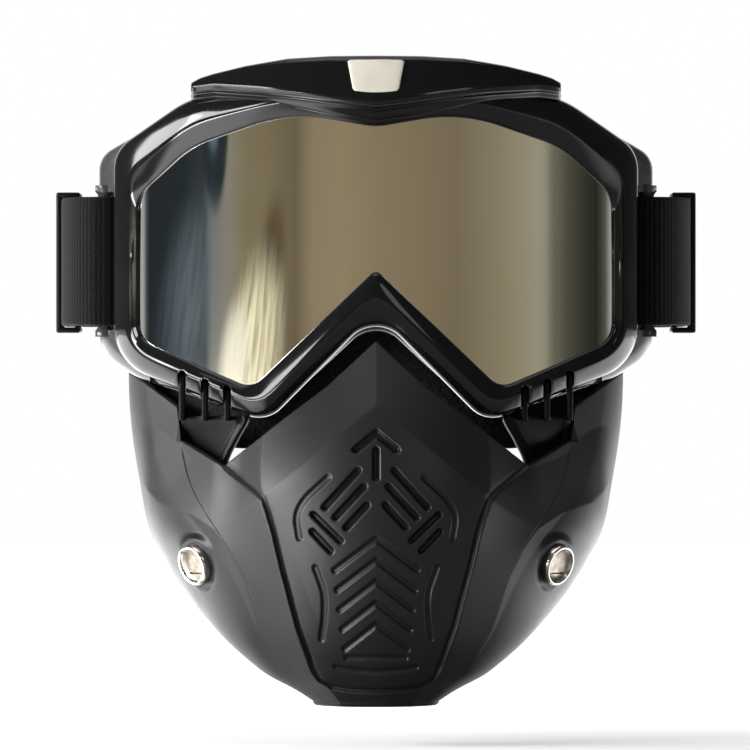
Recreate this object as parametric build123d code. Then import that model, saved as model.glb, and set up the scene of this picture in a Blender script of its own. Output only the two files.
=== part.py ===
from build123d import *
import math
import os

# Motorcycle goggles with a detachable face mask, held as worn, in millimetres.
# +Z is up, the front faces -Y and +X is the side on the right of the front view.
# The origin is on the symmetry plane, at lens height, where the lining meets the brow.

# Driving dimensions
strapWidth = 40.0
strapThick = 1.5
rimHalfWidth = 81.4
flangeHalfWidth = 86.3
browHeight = 59.1
maskHalfWidth = 76.8
chinDrop = 139.7
lensThick = 1.2
maskWall = 2.4

# Depths of the goggles on the centre line, front to back
lensFront = -38.0
rimProud = 3.0
rimDepth = 12.0
flangeDepth = 14.0
foamThick = 11.0
fleeceThick = 4.0
rimFront = lensFront - rimProud
rimRear = rimFront + rimDepth
flangeRear = rimRear + flangeDepth
foamRear = flangeRear + foamThick
fleeceRear = foamRear + fleeceThick

# Curvature about upright axes
lensRadius = 104.0
seatRadius = 97.0

# Walls and clearances
flangeWall = 2.2
rimWall = 2.4
lensLip = 2.5
fitGap = 0.3
reach = 300.0


def outline(points, radii):
    """Closed symmetric outline in the XZ plane from its right half, with a radius at each corner."""
    full = [(x, 0, z) for x, z in points]
    full += [(-x, 0, z) for x, z in reversed(points[1:-1])]
    corners = list(radii) + list(reversed(radii[1:-1]))
    wire = FilletPolyline(*full, radius=corners, close=True)
    return make_face(wire.edges())


def grown(face, by):
    """The outline moved outward by a distance, or inward when it is negative."""
    return offset(face, by, kind=Kind.ARC)


def prism(face, front=-reach, rear=reach):
    """An XZ outline carried straight through from front to rear."""
    return extrude(Pos(0, front, 0) * face, amount=rear - front, dir=(0, 1, 0))


def behind(frontLine, radius):
    """The space behind an upright cylindrical surface whose front line is at frontLine."""
    return Pos(0, frontLine + radius, 0) * Cylinder(radius, reach)


def wrapped(front, rear, frontRadius=lensRadius, rearRadius=lensRadius):
    """Curved layer between two upright cylindrical surfaces."""
    return behind(front, frontRadius) - behind(rear, rearRadius)


def frontHalf():
    """Everything ahead of the ears, which keeps the curved layers open at the back."""
    return Pos(0, -100, 0) * Box(reach, 290, reach)


def mirrored(shape):
    return mirror(shape, about=Plane.YZ)


# Outlines of the goggles, right half, from the top centre round to the nose
def rimOutline():
    side = rimHalfWidth
    points = [(0, 54.6), (57, 47.0), (side, 31.0), (side, -34.5), (33.7, -53.4), (0, -19.7)]
    return outline(points, [60, 30, 11, 17, 10, 10])


def apertureOutline():
    side = rimHalfWidth - 8.1
    points = [(0, 37.3), (26, 41.8), (57, 31.5), (side, 17.0), (side, -27.6), (38, -42.5), (0, -6.2)]
    return outline(points, [20, 50, 30, 10, 8, 6, 1.5])


def flangeOutline():
    side = flangeHalfWidth
    points = [(0, 52.4), (57, 44.8), (79.5, 33.2), (side, 29.5)]
    points += [(side, -31.5), (74, -39.3), (34, -52.6), (0, -21.5)]
    return outline(points, [60, 30, 6, 7, 12, 14, 10, 10])


def browOutline():
    """Ridge face, from its crown to its stepped ends and the shallow V of its lower edge."""
    points = [(0, browHeight), (27, 58.4), (54.5, 52.6), (57.5, 47.0), (22, 48.6), (0, 44.0)]
    return outline(points, [60, 60, 1.5, 0.8, 30, 8])


# Goggles
clipSlots = [45.7, 52.6, 59.7]
slotTops = [-42.8, -40.8, -38.3]
slotWidth = 2.5


def makeRim():
    """Front bezel with its hollow back, the lens groove and the open clip slots."""
    layer = wrapped(rimFront, rimRear) & frontHalf()
    rim = prism(rimOutline() - apertureOutline()) & layer
    hollow = grown(rimOutline(), -rimWall) - grown(apertureOutline(), lensLip + 2.0)
    rim -= prism(hollow) & wrapped(rimFront + 4.5, rimRear + 1) & frontHalf()
    rim -= prism(grown(apertureOutline(), lensLip)) & wrapped(lensFront, lensFront + lensThick)
    for x, top in zip(clipSlots, slotTops):
        for side in (1, -1):
            rim -= Pos(side * x, 0, top + slotWidth / 2 - 10) * Box(slotWidth, reach, 20)
    return rim


def makeLens():
    return prism(grown(apertureOutline(), lensLip)) & wrapped(lensFront, lensFront + lensThick) & frontHalf()


browTilt = 22.0
browFront = rimFront - 5.0
browPivot = 47.0
badgeProud = 0.7


def browSurface(proud):
    """Space behind the raked front face of the brow ridge."""
    curve = Pos(0, lensRadius, 0) * Cylinder(lensRadius, reach)
    return Pos(0, browFront - proud, browPivot) * Rot(-browTilt, 0, 0) * curve


def makeBrow():
    """Ridge that stands off the rim, with a raked face and a lip over the rim's top."""
    ridge = prism(browOutline()) & browSurface(0) & frontHalf()
    ridge -= behind(rimRear - 2, lensRadius)
    return ridge - (prism(rimOutline()) & behind(rimFront, lensRadius))


def makeBadge():
    """Plain plate, wider at its top, that lies on the ridge's face."""
    top = browHeight - 1.2
    points = [(0, top), (8.7, top), (7.0, top - 9.6), (0, top - 10.2)]
    face = outline(points, [0, 0.4, 0.4, 20])
    return (prism(face) & browSurface(badgeProud) & frontHalf()) - browSurface(0)


# Strap posts, each in a window at the side of the flange
postX = 84.6
postRadius = 1.9
postY = 15.6
postTop = 18.5
postFoot = -24.6
postMiddle = (postTop + postFoot) / 2
postSpan = postTop - postFoot
windowWall = flangeHalfWidth - 5.5
windowWallThick = 1.8
plateThick = 2.0
topVents = (-36, -18, 0, 18, 36)
lowerVents = (-66, -52, 52, 66)


def ventAt(x, z, width, height):
    """Cutter for a vent through the outer wall, midway along its depth."""
    middle = (rimRear + flangeRear) / 2 + x * x / (2 * lensRadius)
    return Pos(x, middle, z) * Box(width, 5, height)


def channelLayer():
    """The layer between the flange's front and rear plates."""
    return wrapped(rimRear + plateThick, flangeRear - plateThick, lensRadius, seatRadius) & frontHalf()


def makeFlange():
    """C-section channel between rim and foam, cut away at each side for the strap post."""
    layer = wrapped(rimRear, flangeRear, lensRadius, seatRadius) & frontHalf()
    opening = grown(apertureOutline(), 1.5)
    flange = prism(flangeOutline() - opening) & layer
    space = grown(flangeOutline(), -flangeWall) - grown(opening, -5)
    flange -= prism(space) & channelLayer()
    flange -= [ventAt(x, 50, 11, 20) for x in topVents]
    flange -= [ventAt(x, -45, 8, 16) for x in lowerVents]
    for side in (1, -1):
        wall = Box(windowWallThick, reach, postSpan + 6)
        wall = Pos(side * (windowWall - windowWallThick / 2), 0, postMiddle) * wall
        flange += wall & prism(flangeOutline()) & layer
        flange -= Pos(side * (windowWall + 10), 0, postMiddle) * Box(20, reach, postSpan)
        flange += Pos(side * postX, postY, postMiddle) * Cylinder(postRadius, postSpan + 4)
    return flange


apronThick = 2.5


def apronOutline():
    """Outline of the soft flap that closes the gap between the goggles and the mask."""
    side = flangeHalfWidth - 3
    points = [(0, 40.0), (side, 20.0), (side, -31.0), (73.5, -38.6), (70.5, -50.0)]
    points += [(58.0, -60.0), (38.0, -61.5), (0, -32.0)]
    return outline(points, [5, 5, 8, 4, 8, 8, 10, 10])


def foamLayer(front, rear, outer=None):
    face = (outer or grown(flangeOutline(), -1.2)) - grown(apertureOutline(), 1.8)
    return prism(face) & wrapped(front, rear, seatRadius, seatRadius) & frontHalf()


def makeFaceFoam():
    """Face foam with a thin flap that hangs below it, behind the mask's top edge."""
    return foamLayer(flangeRear, foamRear) + foamLayer(flangeRear, flangeRear + apronThick, apronOutline())


def ventFoam(spans):
    """Thin filter strips that lie inside the flange over the given spans of X and Z."""
    ring = grown(flangeOutline(), -flangeWall) - grown(flangeOutline(), -flangeWall - 2.5)
    layer = channelLayer()
    strips = [(prism(ring) & layer & Pos((a + b) / 2, 0, z) * Box(b - a, reach, 44)) for a, b, z in spans]
    return Compound(children=[s for strip in strips for s in strip.solids()])


strapX = 98.0
strapStraight = (44.0, 94.0)
layerGap = 0.2


def makeStrap():
    """One elastic band that rounds each post and doubles back inside itself to a free tail."""
    turn = postRadius + 0.15 + strapThick / 2
    inner = strapX - strapThick - layerGap
    tailEnd = strapStraight[1] - 2
    runStart, runEnd = strapStraight
    front = (postX + 0.8, postY - turn)
    back = (postX - turn, postY + 0.4)
    wrap = ThreePointArc(back, (postX - turn * 0.6, postY - turn * 0.8), front)
    rear = Line((inner, runStart), (inner, tailEnd))
    tail = Spline(back, (postX + 0.6, postY + 12), (inner, runStart), tangents=[(0.05, 1), (0, 1)])
    outer = Spline(front, (postX + 9.5, postY + 4), (strapX, runStart), tangents=[(1, 0.1), (0, 1)])
    run = Line((strapX, runStart), (strapX, runEnd))
    band = [rear, tail, wrap, outer, run]
    loop = ThreePointArc((strapX, runEnd), (0, runEnd + strapX), (-strapX, runEnd))
    wires = band + [mirrored(e) for e in band] + [loop]
    face = sum((trace(e, strapThick) for e in wires), Sketch())
    return extrude(Pos(0, 0, postMiddle - strapWidth / 2) * face, amount=strapWidth)


glideLength = 24.0
glideBar = 4.0
glideBarThick = 2.0
glideRail = 3.2


def makeGlide(side):
    """Three-bar adjuster with two upright end bars outside the band and one inside it."""
    outside = strapX + strapThick / 2
    inside = strapX - strapThick * 1.5 - layerGap
    centre = sum(strapStraight) / 2
    offStrap = layerGap + glideBarThick / 2
    rail = Box(outside - inside + 2 * (offStrap + glideBarThick / 2), glideLength, glideRail)
    rail = chamfer(rail.edges().filter_by(Axis.X), 1.0)
    glide = Pos((outside + inside) / 2, centre, postMiddle + strapWidth / 2 + glideRail / 2 + 0.5) * rail
    glide += mirror(glide, about=Plane.XY.offset(postMiddle))
    upright = Pos(0, centre, postMiddle) * Box(glideBarThick, glideBar, strapWidth + 2)
    for end in (-1, 1):
        glide += Pos(outside + offStrap, end * (glideLength - glideBar) / 2, 0) * upright
    glide += Pos(inside - offStrap, 0, 0) * upright
    return glide if side > 0 else mirrored(glide)


# Mask
# Each section of the mask's outside, evenly spaced from the nose down to the chin:
# rear edge x, y; cheek crease x, y; panel edge x, y; centre line y
noseTop = -24.0
maskSections = [
    (76.4, 20, 72.5, 6, 30, -37, -45),
    (maskHalfWidth, 25, 71.5, 3, 32.5, -44.5, -53.5),
    (75.6, 27, 69, -3, 34.2, -50, -60.5),
    (72.6, 24.5, 62.5, -16, 34.6, -54, -64.8),
    (67.5, 16, 49, -37, 31, -56.5, -66),
    (57.5, 2, 39, -44.5, 26.8, -56.5, -64.3),
    (41.5, -14, 30, -44.5, 21.5, -53.5, -59.5),
    (17.0, -28, 13.5, -42, 10, -47, -50),
]


def maskSection(row, z, inset):
    rearX, rearY, creaseX, creaseY, edgeX, edgeY, centreY = row
    step = inset * (1.0 + 0.5 * max(0, -z - 95) / 45)
    rearX, creaseX, edgeX = rearX - step, creaseX - step * 0.75, edgeX - step * 0.35
    rearY, creaseY, edgeY, centreY = rearY + inset * 4, creaseY + step * 0.7, edgeY + step, centreY + step
    bulgeX = rearX * 0.8 + creaseX * 0.2
    bulgeY = rearY * 0.4 + creaseY * 0.6
    section = [ThreePointArc((-edgeX, edgeY, z), (0, centreY, z), (edgeX, edgeY, z))]
    section.append(Line((edgeX, edgeY, z), (creaseX, creaseY, z)))
    section.append(ThreePointArc((creaseX, creaseY, z), (bulgeX, bulgeY, z), (rearX, rearY, z)))
    section.append(Line((rearX, rearY, z), (-rearX, rearY, z)))
    section.append(ThreePointArc((-rearX, rearY, z), (-bulgeX, bulgeY, z), (-creaseX, creaseY, z)))
    section.append(Line((-creaseX, creaseY, z), (-edgeX, edgeY, z)))
    return Wire(section)


def maskBody(inset):
    """Smooth loft through the sections; an inset one stops short of the chin to leave its floor."""
    count = len(maskSections) - 1
    foot = -chinDrop + inset * 0.9
    heights = [noseTop + (foot - noseTop) * i / count for i in range(count + 1)]
    return Solid.make_loft([maskSection(row, z, inset) for row, z in zip(maskSections, heights)], False)


panelShoulder = (34.6, -75.8)
panelSide = [(31.6, -86.0), (15.0, -132.0), (0, -134.6)]
notchFoot = (46.9, -66.6)


def frontOutline():
    """The nose and breathing panel, which lie a step below the cheeks."""
    width = notchFoot[0]
    points = [(0, 0), (width, 0), notchFoot, panelShoulder, *panelSide]
    return outline(points, [0, 0, 0, 5, 30, 5, 20])


def panelOutline():
    points = [(0, -47.7), panelShoulder, *panelSide]
    return outline(points, [3, 5, 30, 5, 20])


def maskOutline():
    """Front outline above the jaw, with the nose and the two clip notches, half by half."""
    edge = maskHalfWidth + 5
    points = [(0, -28.2), (14.8, -42.0), (29.5, -53.0), notchFoot, (61.0, -58.4), (61.0, -48.6)]
    points += [(76.0, -38.2), (edge, -36), (edge, -145), (0, -145)]
    return outline(points, [4, 10, 0, 2, 2, 2, 0, 0, 0, 0])


def slot(start, end, width):
    """Round-ended slot between two points of the front view."""
    length = math.dist(start, end)
    angle = math.degrees(math.atan2(end[1] - start[1], end[0] - start[0]))
    middle = ((start[0] + end[0]) / 2, (start[1] + end[1]) / 2)
    return Pos(*middle) * SlotCenterToCenter(length, width, rotation=angle)


def bothSides(cuts):
    """A sketch of the front view with its mirror image, stood up in the XZ plane."""
    half = sum(cuts[1:], cuts[0])
    return Plane.XZ * (half + mirror(half, about=Plane.YZ))


breathSlots = [
    ((-5.5, -67.5), (-15.5, -78.6)),
    ((-3.7, -72.4), (-12.3, -81.7)),
    ((-2.8, -78.0), (-9.0, -84.8)),
    ((-19.0, -80.8), (-10.8, -88.8)),
    ((-19.3, -86.0), (-13.8, -91.8)),
]
panelStep = 1.3
grooveDepth = 0.9
breathWidth = 1.9
arrowWidth = 1.7
upperArc = [(-14.6, -69.6), (-22.8, -78.6), (-23.3, -88.0)]
sideArc = [(-18.4, -97.0), (-15.6, -108.0), (-16.5, -118.6)]


def arrowHalf(apex, span, drop, width):
    """Left half of an arrow groove with upright ends, from its apex on the centre line."""
    rise = width / 2 * math.hypot(span, drop) / span
    corners = [(0, apex + rise), (-span, apex - drop + rise), (-span, apex - drop - rise), (0, apex - rise)]
    return make_face(Polyline(*corners, close=True))


def breathSketch():
    """Slots that go right through the panel under the nose."""
    cuts = [slot(start, end, breathWidth) for start, end in breathSlots]
    cuts.append(slot((0, -61.2), (0, -69.8), breathWidth))
    cuts.append(arrowHalf(-56.2, 7.0, 5.6, 2.2))
    return bothSides(cuts)


def grooveSketch():
    """Shallow grooves: five arrow rows, the arcs beside them and the two lines at the chin."""
    cuts = []
    for row in range(5):
        cuts.append(arrowHalf(-88.2 - 6.5 * row, 13.4 - 0.75 * row, 10.2 - 0.5 * row, arrowWidth))
    cuts.append(arrowHalf(-124.3, 9.7, 0, arrowWidth))
    cuts.append(arrowHalf(-128.6, 12.6, -1.7, arrowWidth))
    cuts += [trace(ThreePointArc(*path), arrowWidth) for path in (upperArc, sideArc)]
    return bothSides(cuts)


# Rivets that hold the clips to the cheeks
rivetX, rivetY, rivetZ = 55.0, -30.8, -96.4
rivetYaw, rivetPitch = 51.0, 17.0
rivetHead = 6.5
rivetBarrel = 3.2
bossRadius = 7.4
bossThick = 3.4
clipThick = 2.4
washerThick = 0.8


def onCheek(shape, side, out=0.0):
    """Places a shape made about Z, with Z outward, on the cheek's boss."""
    seat = Pos(rivetX, rivetY, rivetZ) * Rot(0, 0, rivetYaw) * Rot(90 + rivetPitch, 0, 0)
    placed = seat * Pos(0, 0, out) * shape
    return placed if side > 0 else mirrored(placed)


def makeMask():
    """Moulded shell: outer loft less inner loft, with the sunk panel, its slots and grooves."""
    outer = maskBody(0)
    sunk = prism(frontOutline(), -90, -20) - Pos(0, panelStep, 0) * outer
    grooves = prism(grooveSketch(), -90, -20) - Pos(0, panelStep + grooveDepth, 0) * outer
    shell = (outer - maskBody(maskWall)) & prism(maskOutline())
    for side in (1, -1):
        shell -= onCheek(Cylinder(bossRadius + 1.5, 8), side, 4)
        shell -= onCheek(Cylinder(bossRadius + 0.6, 6), side, -bossThick - 3)
        shell += onCheek(Cylinder(bossRadius, bossThick), side, -bossThick / 2)
        shell -= onCheek(Cylinder(rivetBarrel, 12), side)
    shell -= sunk
    shell -= prism(breathSketch(), -90, -20)
    return shell - grooves


def makeFilterFoam():
    """Foam sheet that lies on the back of the panel behind its slots."""
    inner = maskBody(maskWall)
    face = grown(panelOutline(), -3.5) & prism(outline([(0, -50), (40, -50), (40, -95), (0, -95)], [0] * 4))
    return prism(face) & (inner - Pos(0, 4.0, 0) * inner)


def makeRivet(side):
    """Rivet with a rolled rim round a dished head, and a flared inner end."""
    stack = bossThick + clipThick + washerThick
    rim = [(0, 0.5), (4.9, 1.5), (5.7, 2.5), (rivetHead, 1.6), (rivetHead, 0), (rivetBarrel, 0)]
    tail = [(rivetBarrel, -stack), (4.6, -stack), (4.6, -stack - 0.8), (0, -stack - 0.8)]
    section = make_face(Plane.XZ * Polyline(*rim, *tail, close=True))
    return onCheek(revolve(section, Axis.Z), side)


def makeWasher(side):
    ring = Cylinder(5.5, washerThick) - Cylinder(rivetBarrel, washerThick)
    return onCheek(ring, side, -bossThick - clipThick - washerThick / 2)


clawFoot = -52.5
clawDeep = 6.5
eyeRadius = 7.0


def armSection(x, y, z, yaw, width):
    return Pos(x, y, z) * Rot(0, 0, yaw) * Rectangle(width, clipThick)


def makeClip(side):
    """Twisted arm from the cheek rivet up through the notch, with three claws in the rim's slots."""
    eye = onCheek(Cylinder(eyeRadius, clipThick), 1, -bossThick - clipThick / 2)
    sections = [
        armSection(51.6, -28.1, -95.0, rivetYaw, 11),
        armSection(51.8, -20.2, -80.0, 51, 16),
        armSection(52.4, -14.9, -66.0, 50, 20),
        armSection(49.4, -19.0, -52.0, 31, 24),
    ]
    clip = eye + loft(sections)
    claw = slotWidth - 2 * fitGap
    for x, top in zip(clipSlots, slotTops):
        sag = lensRadius - math.sqrt(lensRadius ** 2 - x ** 2)
        head = top - 4 * fitGap
        tall = head - clawFoot
        clip += Pos(x, rimFront + rimDepth / 2 + sag, clawFoot + tall / 2) * Box(claw, clawDeep, tall)
    clip -= onCheek(Cylinder(rivetBarrel, 20), 1)
    clip -= onCheek(Cylinder(eyeRadius - 0.5, 8), 1, -bossThick - clipThick - 4)
    return clip if side > 0 else mirrored(clip)


def main():
    os.makedirs("parts", exist_ok=True)
    pieces = {
        "front_rim": makeRim(),
        "lens": makeLens(),
        "brow_cowl": makeBrow(),
        "brow_badge": makeBadge(),
        "face_flange": makeFlange(),
        "face_foam": makeFaceFoam(),
        "fleece_lining": foamLayer(foamRear, fleeceRear),
        "top_vent_foam": ventFoam([(-44, 44, 50)]),
        "lower_vent_foam": ventFoam([(-70, -46, -50), (46, 70, -50)]),
        "strap": makeStrap(),
        "strap_glide_left": makeGlide(-1),
        "strap_glide_right": makeGlide(1),
        "mask_shell": makeMask(),
        "mask_filter_foam": makeFilterFoam(),
        "mask_clip_left": makeClip(-1),
        "mask_clip_right": makeClip(1),
        "cheek_rivet_left": makeRivet(-1),
        "cheek_rivet_right": makeRivet(1),
        "rivet_washer_left": makeWasher(-1),
        "rivet_washer_right": makeWasher(1),
    }
    for name, shape in pieces.items():
        export_step(shape, "parts/" + name + ".step")


main()
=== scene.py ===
import bmesh
import bpy
import math
import numpy as np
from mathutils import Matrix, Vector


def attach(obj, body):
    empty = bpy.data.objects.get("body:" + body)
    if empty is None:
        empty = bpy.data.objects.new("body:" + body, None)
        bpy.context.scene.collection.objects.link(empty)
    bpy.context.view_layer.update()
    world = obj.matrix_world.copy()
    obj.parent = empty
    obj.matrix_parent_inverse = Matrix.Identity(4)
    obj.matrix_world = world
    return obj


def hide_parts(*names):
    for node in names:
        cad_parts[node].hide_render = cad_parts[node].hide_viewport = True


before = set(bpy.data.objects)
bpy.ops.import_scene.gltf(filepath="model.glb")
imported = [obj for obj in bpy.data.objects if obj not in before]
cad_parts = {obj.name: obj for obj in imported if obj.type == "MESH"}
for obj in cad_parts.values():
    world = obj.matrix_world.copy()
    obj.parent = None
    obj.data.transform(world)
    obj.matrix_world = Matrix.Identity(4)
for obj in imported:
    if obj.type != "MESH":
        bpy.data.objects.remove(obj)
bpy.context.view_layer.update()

mm = 0.001
scene = bpy.context.scene

# sizes shared by the goggles' pieces, in millimetres
goggles = {
    "lensRadius": 104.0, "seatRadius": 97.0,
    "rimFront": -41.0, "lensFront": -38.0, "rimRear": -29.0,
    "flangeRear": -15.0, "foamRear": -4.0, "fleeceRear": 0.0,
    "lensThick": 1.2, "lensLip": 2.45,
}

# half outlines from the top centre down: corners are x, z and radius, and guides match one loop to the next
outlines = {
    "rim": {
        "corners": [(0, 54.6, 60), (57, 47.0, 30), (81.4, 31.0, 11), (81.4, -34.5, 17), (33.7, -53.4, 10),
                    (0, -19.7, 10)],
        "guides": [(0, 54.3), (27, 51), (57, 46), (80, 28), (79, -32), (34, -50.5), (0, -23.8)],
    },
    "aperture": {
        "corners": [(0, 37.3, 20), (26, 41.8, 50), (57, 31.5, 30), (73.3, 17.0, 10), (73.3, -27.6, 8),
                    (38, -42.5, 6), (0, -6.2, 1.5)],
        "guides": [(0, 38), (26, 40.6), (54, 32), (72, 17), (72.5, -27), (37.5, -40.5), (0, -6.8)],
    },
    "flange": {
        "corners": [(0, 52.4, 60), (57, 44.8, 30), (79.5, 33.2, 6), (86.3, 29.5, 7), (86.3, -31.5, 12),
                    (74, -39.3, 14), (34, -52.6, 10), (0, -21.5, 10)],
        "guides": [(0, 52), (27, 48.8), (57, 44.4), (84, 30.8), (82, -35.4), (34, -50.5), (0, -25.6)],
    },
}
stationSteps = [22, 22, 26, 40, 26, 34]


def sag(x, radius):
    # how far a cylinder of this radius has curved back at x
    return radius - np.sqrt(radius ** 2 - np.minimum(np.abs(x), radius - 1) ** 2)


def unit(vector):
    return vector / np.linalg.norm(vector)


def rowUnits(rows):
    return rows / np.linalg.norm(rows, axis=1)[:, None]


def softStep(value, low, high):
    t = np.clip((value - low) / (high - low), 0, 1)
    return t * t * (3 - 2 * t)


def runLength(points):
    return np.concatenate([[0], np.cumsum(np.linalg.norm(np.diff(points, axis=0), axis=1))])


def nearest(loop, spot):
    return int(np.argmin(np.linalg.norm(loop - np.array(spot), axis=1)))


def sampled(points, length, stations):
    return np.stack([np.interp(stations, length, points[:, k]) for k in (0, 1)], axis=1)


def outlineLoop(corners, arcSteps=24, runSteps=40):
    # closed symmetric outline with true arcs at its corners, from the top centre clockwise
    full = corners + [(-x, z, radius) for x, z, radius in corners[-2:0:-1]]
    spots = [np.array((x, z), float) for x, z, radius in full]
    count = len(full)

    def arcAt(i):
        # the corner, both ends of its arc, and the arc's weight
        p = spots[i]
        u, v = unit(spots[i - 1] - p), unit(spots[(i + 1) % count] - p)
        half = 0.5 * math.acos(np.clip(np.dot(u, v), -1, 1))
        reach = full[i][2] / math.tan(half)
        return p, p + u * reach, p + v * reach, math.sin(half)

    points = []
    for i in range(count):
        p, begin, end, weight = arcAt(i)
        for s in np.linspace(0, 1, arcSteps + 1):
            k0, k1, k2 = (1 - s) ** 2, 2 * s * (1 - s) * weight, s * s
            points.append((k0 * begin + k1 * p + k2 * end) / (k0 + k1 + k2))
        ahead = arcAt((i + 1) % count)[1]
        points += [end + (ahead - end) * s for s in np.linspace(0, 1, runSteps + 1)[1:-1]]
    points = np.array(points)
    top = int(np.argmin(np.abs(points[:, 0]) + (points[:, 1] < 0) * 1000))
    return np.roll(points, -top, axis=0)


def grownLoop(loop, by):
    # each point moves outward along the outline's own normal
    t = rowUnits(np.roll(loop, -1, axis=0) - np.roll(loop, 1, axis=0))
    return loop + np.stack([-t[:, 1], t[:, 0]], axis=1) * by


def stationLoop(name):
    # the outline resampled evenly between the points that lie nearest to its guides
    loop = outlineLoop(outlines[name]["corners"])
    half = outlines[name]["guides"]
    guides = half + [(-x, z) for x, z in half[-2:0:-1]]
    closed = np.vstack([loop, loop[:1]])
    length = runLength(closed)
    marks = [0.0] + [length[nearest(loop, g)] for g in guides[1:]] + [length[-1]]
    steps = stationSteps + stationSteps[::-1]
    stations = [np.linspace(a, b, n + 1)[:-1] for a, b, n in zip(marks, marks[1:], steps)]
    return sampled(closed, length, np.concatenate(stations))


rimLoop, apertureLoop, flangeLoop = [stationLoop(name) for name in ("rim", "aperture", "flange")]


def smoothLine(points, steps=6):
    # a curve through the points, with centripetal spacing so that it never loops
    p = np.asarray(points, float)
    out = []
    for i in range(len(p) - 1):
        a = p[i - 1] if i > 0 else p[0] * 2 - p[1]
        b, c = p[i], p[i + 1]
        d = p[i + 2] if i + 2 < len(p) else c * 2 - b
        t1 = max(np.linalg.norm(b - a), 1e-6) ** 0.5
        t2 = t1 + max(np.linalg.norm(c - b), 1e-6) ** 0.5
        t3 = t2 + max(np.linalg.norm(d - c), 1e-6) ** 0.5
        for t in np.linspace(t1, t2, steps + 1)[:-1]:
            ab = a * (t1 - t) / t1 + b * t / t1
            bc = b * (t2 - t) / (t2 - t1) + c * (t - t1) / (t2 - t1)
            cd = c * (t3 - t) / (t3 - t2) + d * (t - t2) / (t3 - t2)
            abc = ab * (t2 - t) / t2 + bc * t / t2
            bcd = bc * (t3 - t) / (t3 - t1) + cd * (t - t1) / (t3 - t1)
            out.append(abc * (t2 - t) / (t2 - t1) + bcd * (t - t1) / (t2 - t1))
    return np.array(out + [p[-1]])


def linked(name, data):
    piece = bpy.data.objects.new(name, data)
    scene.collection.objects.link(piece)
    return piece


def meshPiece(name, verts, faces, smooth=True):
    mesh = bpy.data.meshes.new(name)
    mesh.from_pydata([tuple(v) for v in np.asarray(verts) * mm], [], faces)
    mesh.validate()
    mesh.update()
    for face in mesh.polygons:
        face.use_smooth = smooth
    return linked(name, mesh)


def gridFaces(rows, columns, closedRows=False, closedColumns=False):
    faces = []
    for i in range(rows if closedRows else rows - 1):
        for j in range(columns if closedColumns else columns - 1):
            a, b = i * columns + j, i * columns + (j + 1) % columns
            c, d = ((i + 1) % rows) * columns + (j + 1) % columns, ((i + 1) % rows) * columns + j
            faces.append((a, b, c, d))
    return faces


def outward(piece, weld=1e-7, fill=False):
    bm = bmesh.new()
    bm.from_mesh(piece.data)
    if fill:
        bmesh.ops.holes_fill(bm, edges=[e for e in bm.edges if e.is_boundary], sides=0)
    if weld:
        bmesh.ops.remove_doubles(bm, verts=bm.verts, dist=weld)
    bmesh.ops.recalc_face_normals(bm, faces=bm.faces)
    bm.to_mesh(piece.data)
    bm.free()
    return piece


def tubePiece(name, sections):
    # closed sections joined in a closed ring
    sections = np.asarray(sections)
    rows, columns = sections.shape[:2]
    return outward(meshPiece(name, sections.reshape(-1, 3), gridFaces(rows, columns, True, True)))


def loftPiece(name, sections):
    # closed sections in an open run, with a flat face at each end
    sections = np.asarray(sections)
    rows, columns = sections.shape[:2]
    faces = gridFaces(rows, columns, False, True)
    faces += [tuple(range(columns)), tuple(range((rows - 1) * columns, rows * columns))]
    return outward(meshPiece(name, sections.reshape(-1, 3), faces))


def turned(name, profile, steps=40, hollow=False):
    # a profile of (radius, height) points turned about the upright axis
    angle = np.linspace(0, 2 * math.pi, steps, endpoint=False)
    rings = [np.stack([r * np.cos(angle), r * np.sin(angle), np.full(steps, h)], axis=1) for r, h in profile]
    return (tubePiece if hollow else loftPiece)(name, rings)


def applied(piece):
    graph = bpy.context.evaluated_depsgraph_get()
    done = bpy.data.meshes.new_from_object(piece.evaluated_get(graph))
    piece.modifiers.clear()
    piece.data = done
    return piece


def bevelled(piece, width, segments, degrees=30):
    edges = piece.modifiers.new("edges", "BEVEL")
    edges.width, edges.segments = width * mm, segments
    edges.limit_method, edges.angle_limit = "ANGLE", math.radians(degrees)
    return applied(piece)


def sharpened(piece, degrees):
    piece.data.set_sharp_from_angle(angle=math.radians(degrees))
    return piece


def joined(name, parts):
    # one mesh of all the parts, each where it stands
    bm = bmesh.new()
    for part in parts:
        start = len(bm.verts)
        bm.from_mesh(part.data)
        bm.verts.ensure_lookup_table()
        bmesh.ops.transform(bm, matrix=part.matrix_world, verts=bm.verts[start:])
        bpy.data.objects.remove(part)
    mesh = bpy.data.meshes.new(name)
    bm.to_mesh(mesh)
    bm.free()
    return linked(name, mesh)


def cutBy(piece, cutters):
    # the cutters are one mesh, so one boolean does them all
    tool = joined("cutter", cutters)
    cut = piece.modifiers.new("cut", "BOOLEAN")
    cut.object, cut.operation, cut.solver = tool, "DIFFERENCE", "EXACT"
    cut.use_self = True
    applied(piece)
    bpy.data.objects.remove(tool)
    return piece


def roundedBlock(centre, size, radius):
    x, y, z = [s / 2 for s in size]
    corners = [(sx * x, sy * y, sz * z) for sx in (-1, 1) for sy in (-1, 1) for sz in (-1, 1)]
    faces = [(0, 1, 3, 2), (4, 6, 7, 5), (0, 4, 5, 1), (2, 3, 7, 6), (0, 2, 6, 4), (1, 5, 7, 3)]
    block = meshPiece("block", corners, faces, smooth=False)
    block.matrix_world = Matrix.Translation(Vector(centre) * mm)
    bpy.context.view_layer.update()
    return bevelled(block, radius, 4)


# the camera looks straight at the front, through a long lens
view = {"distance": 3.0, "widthSeen": 0.2308, "focusY": -0.02, "x": -0.0003, "z": -0.0385, "sensor": 36}


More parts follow.
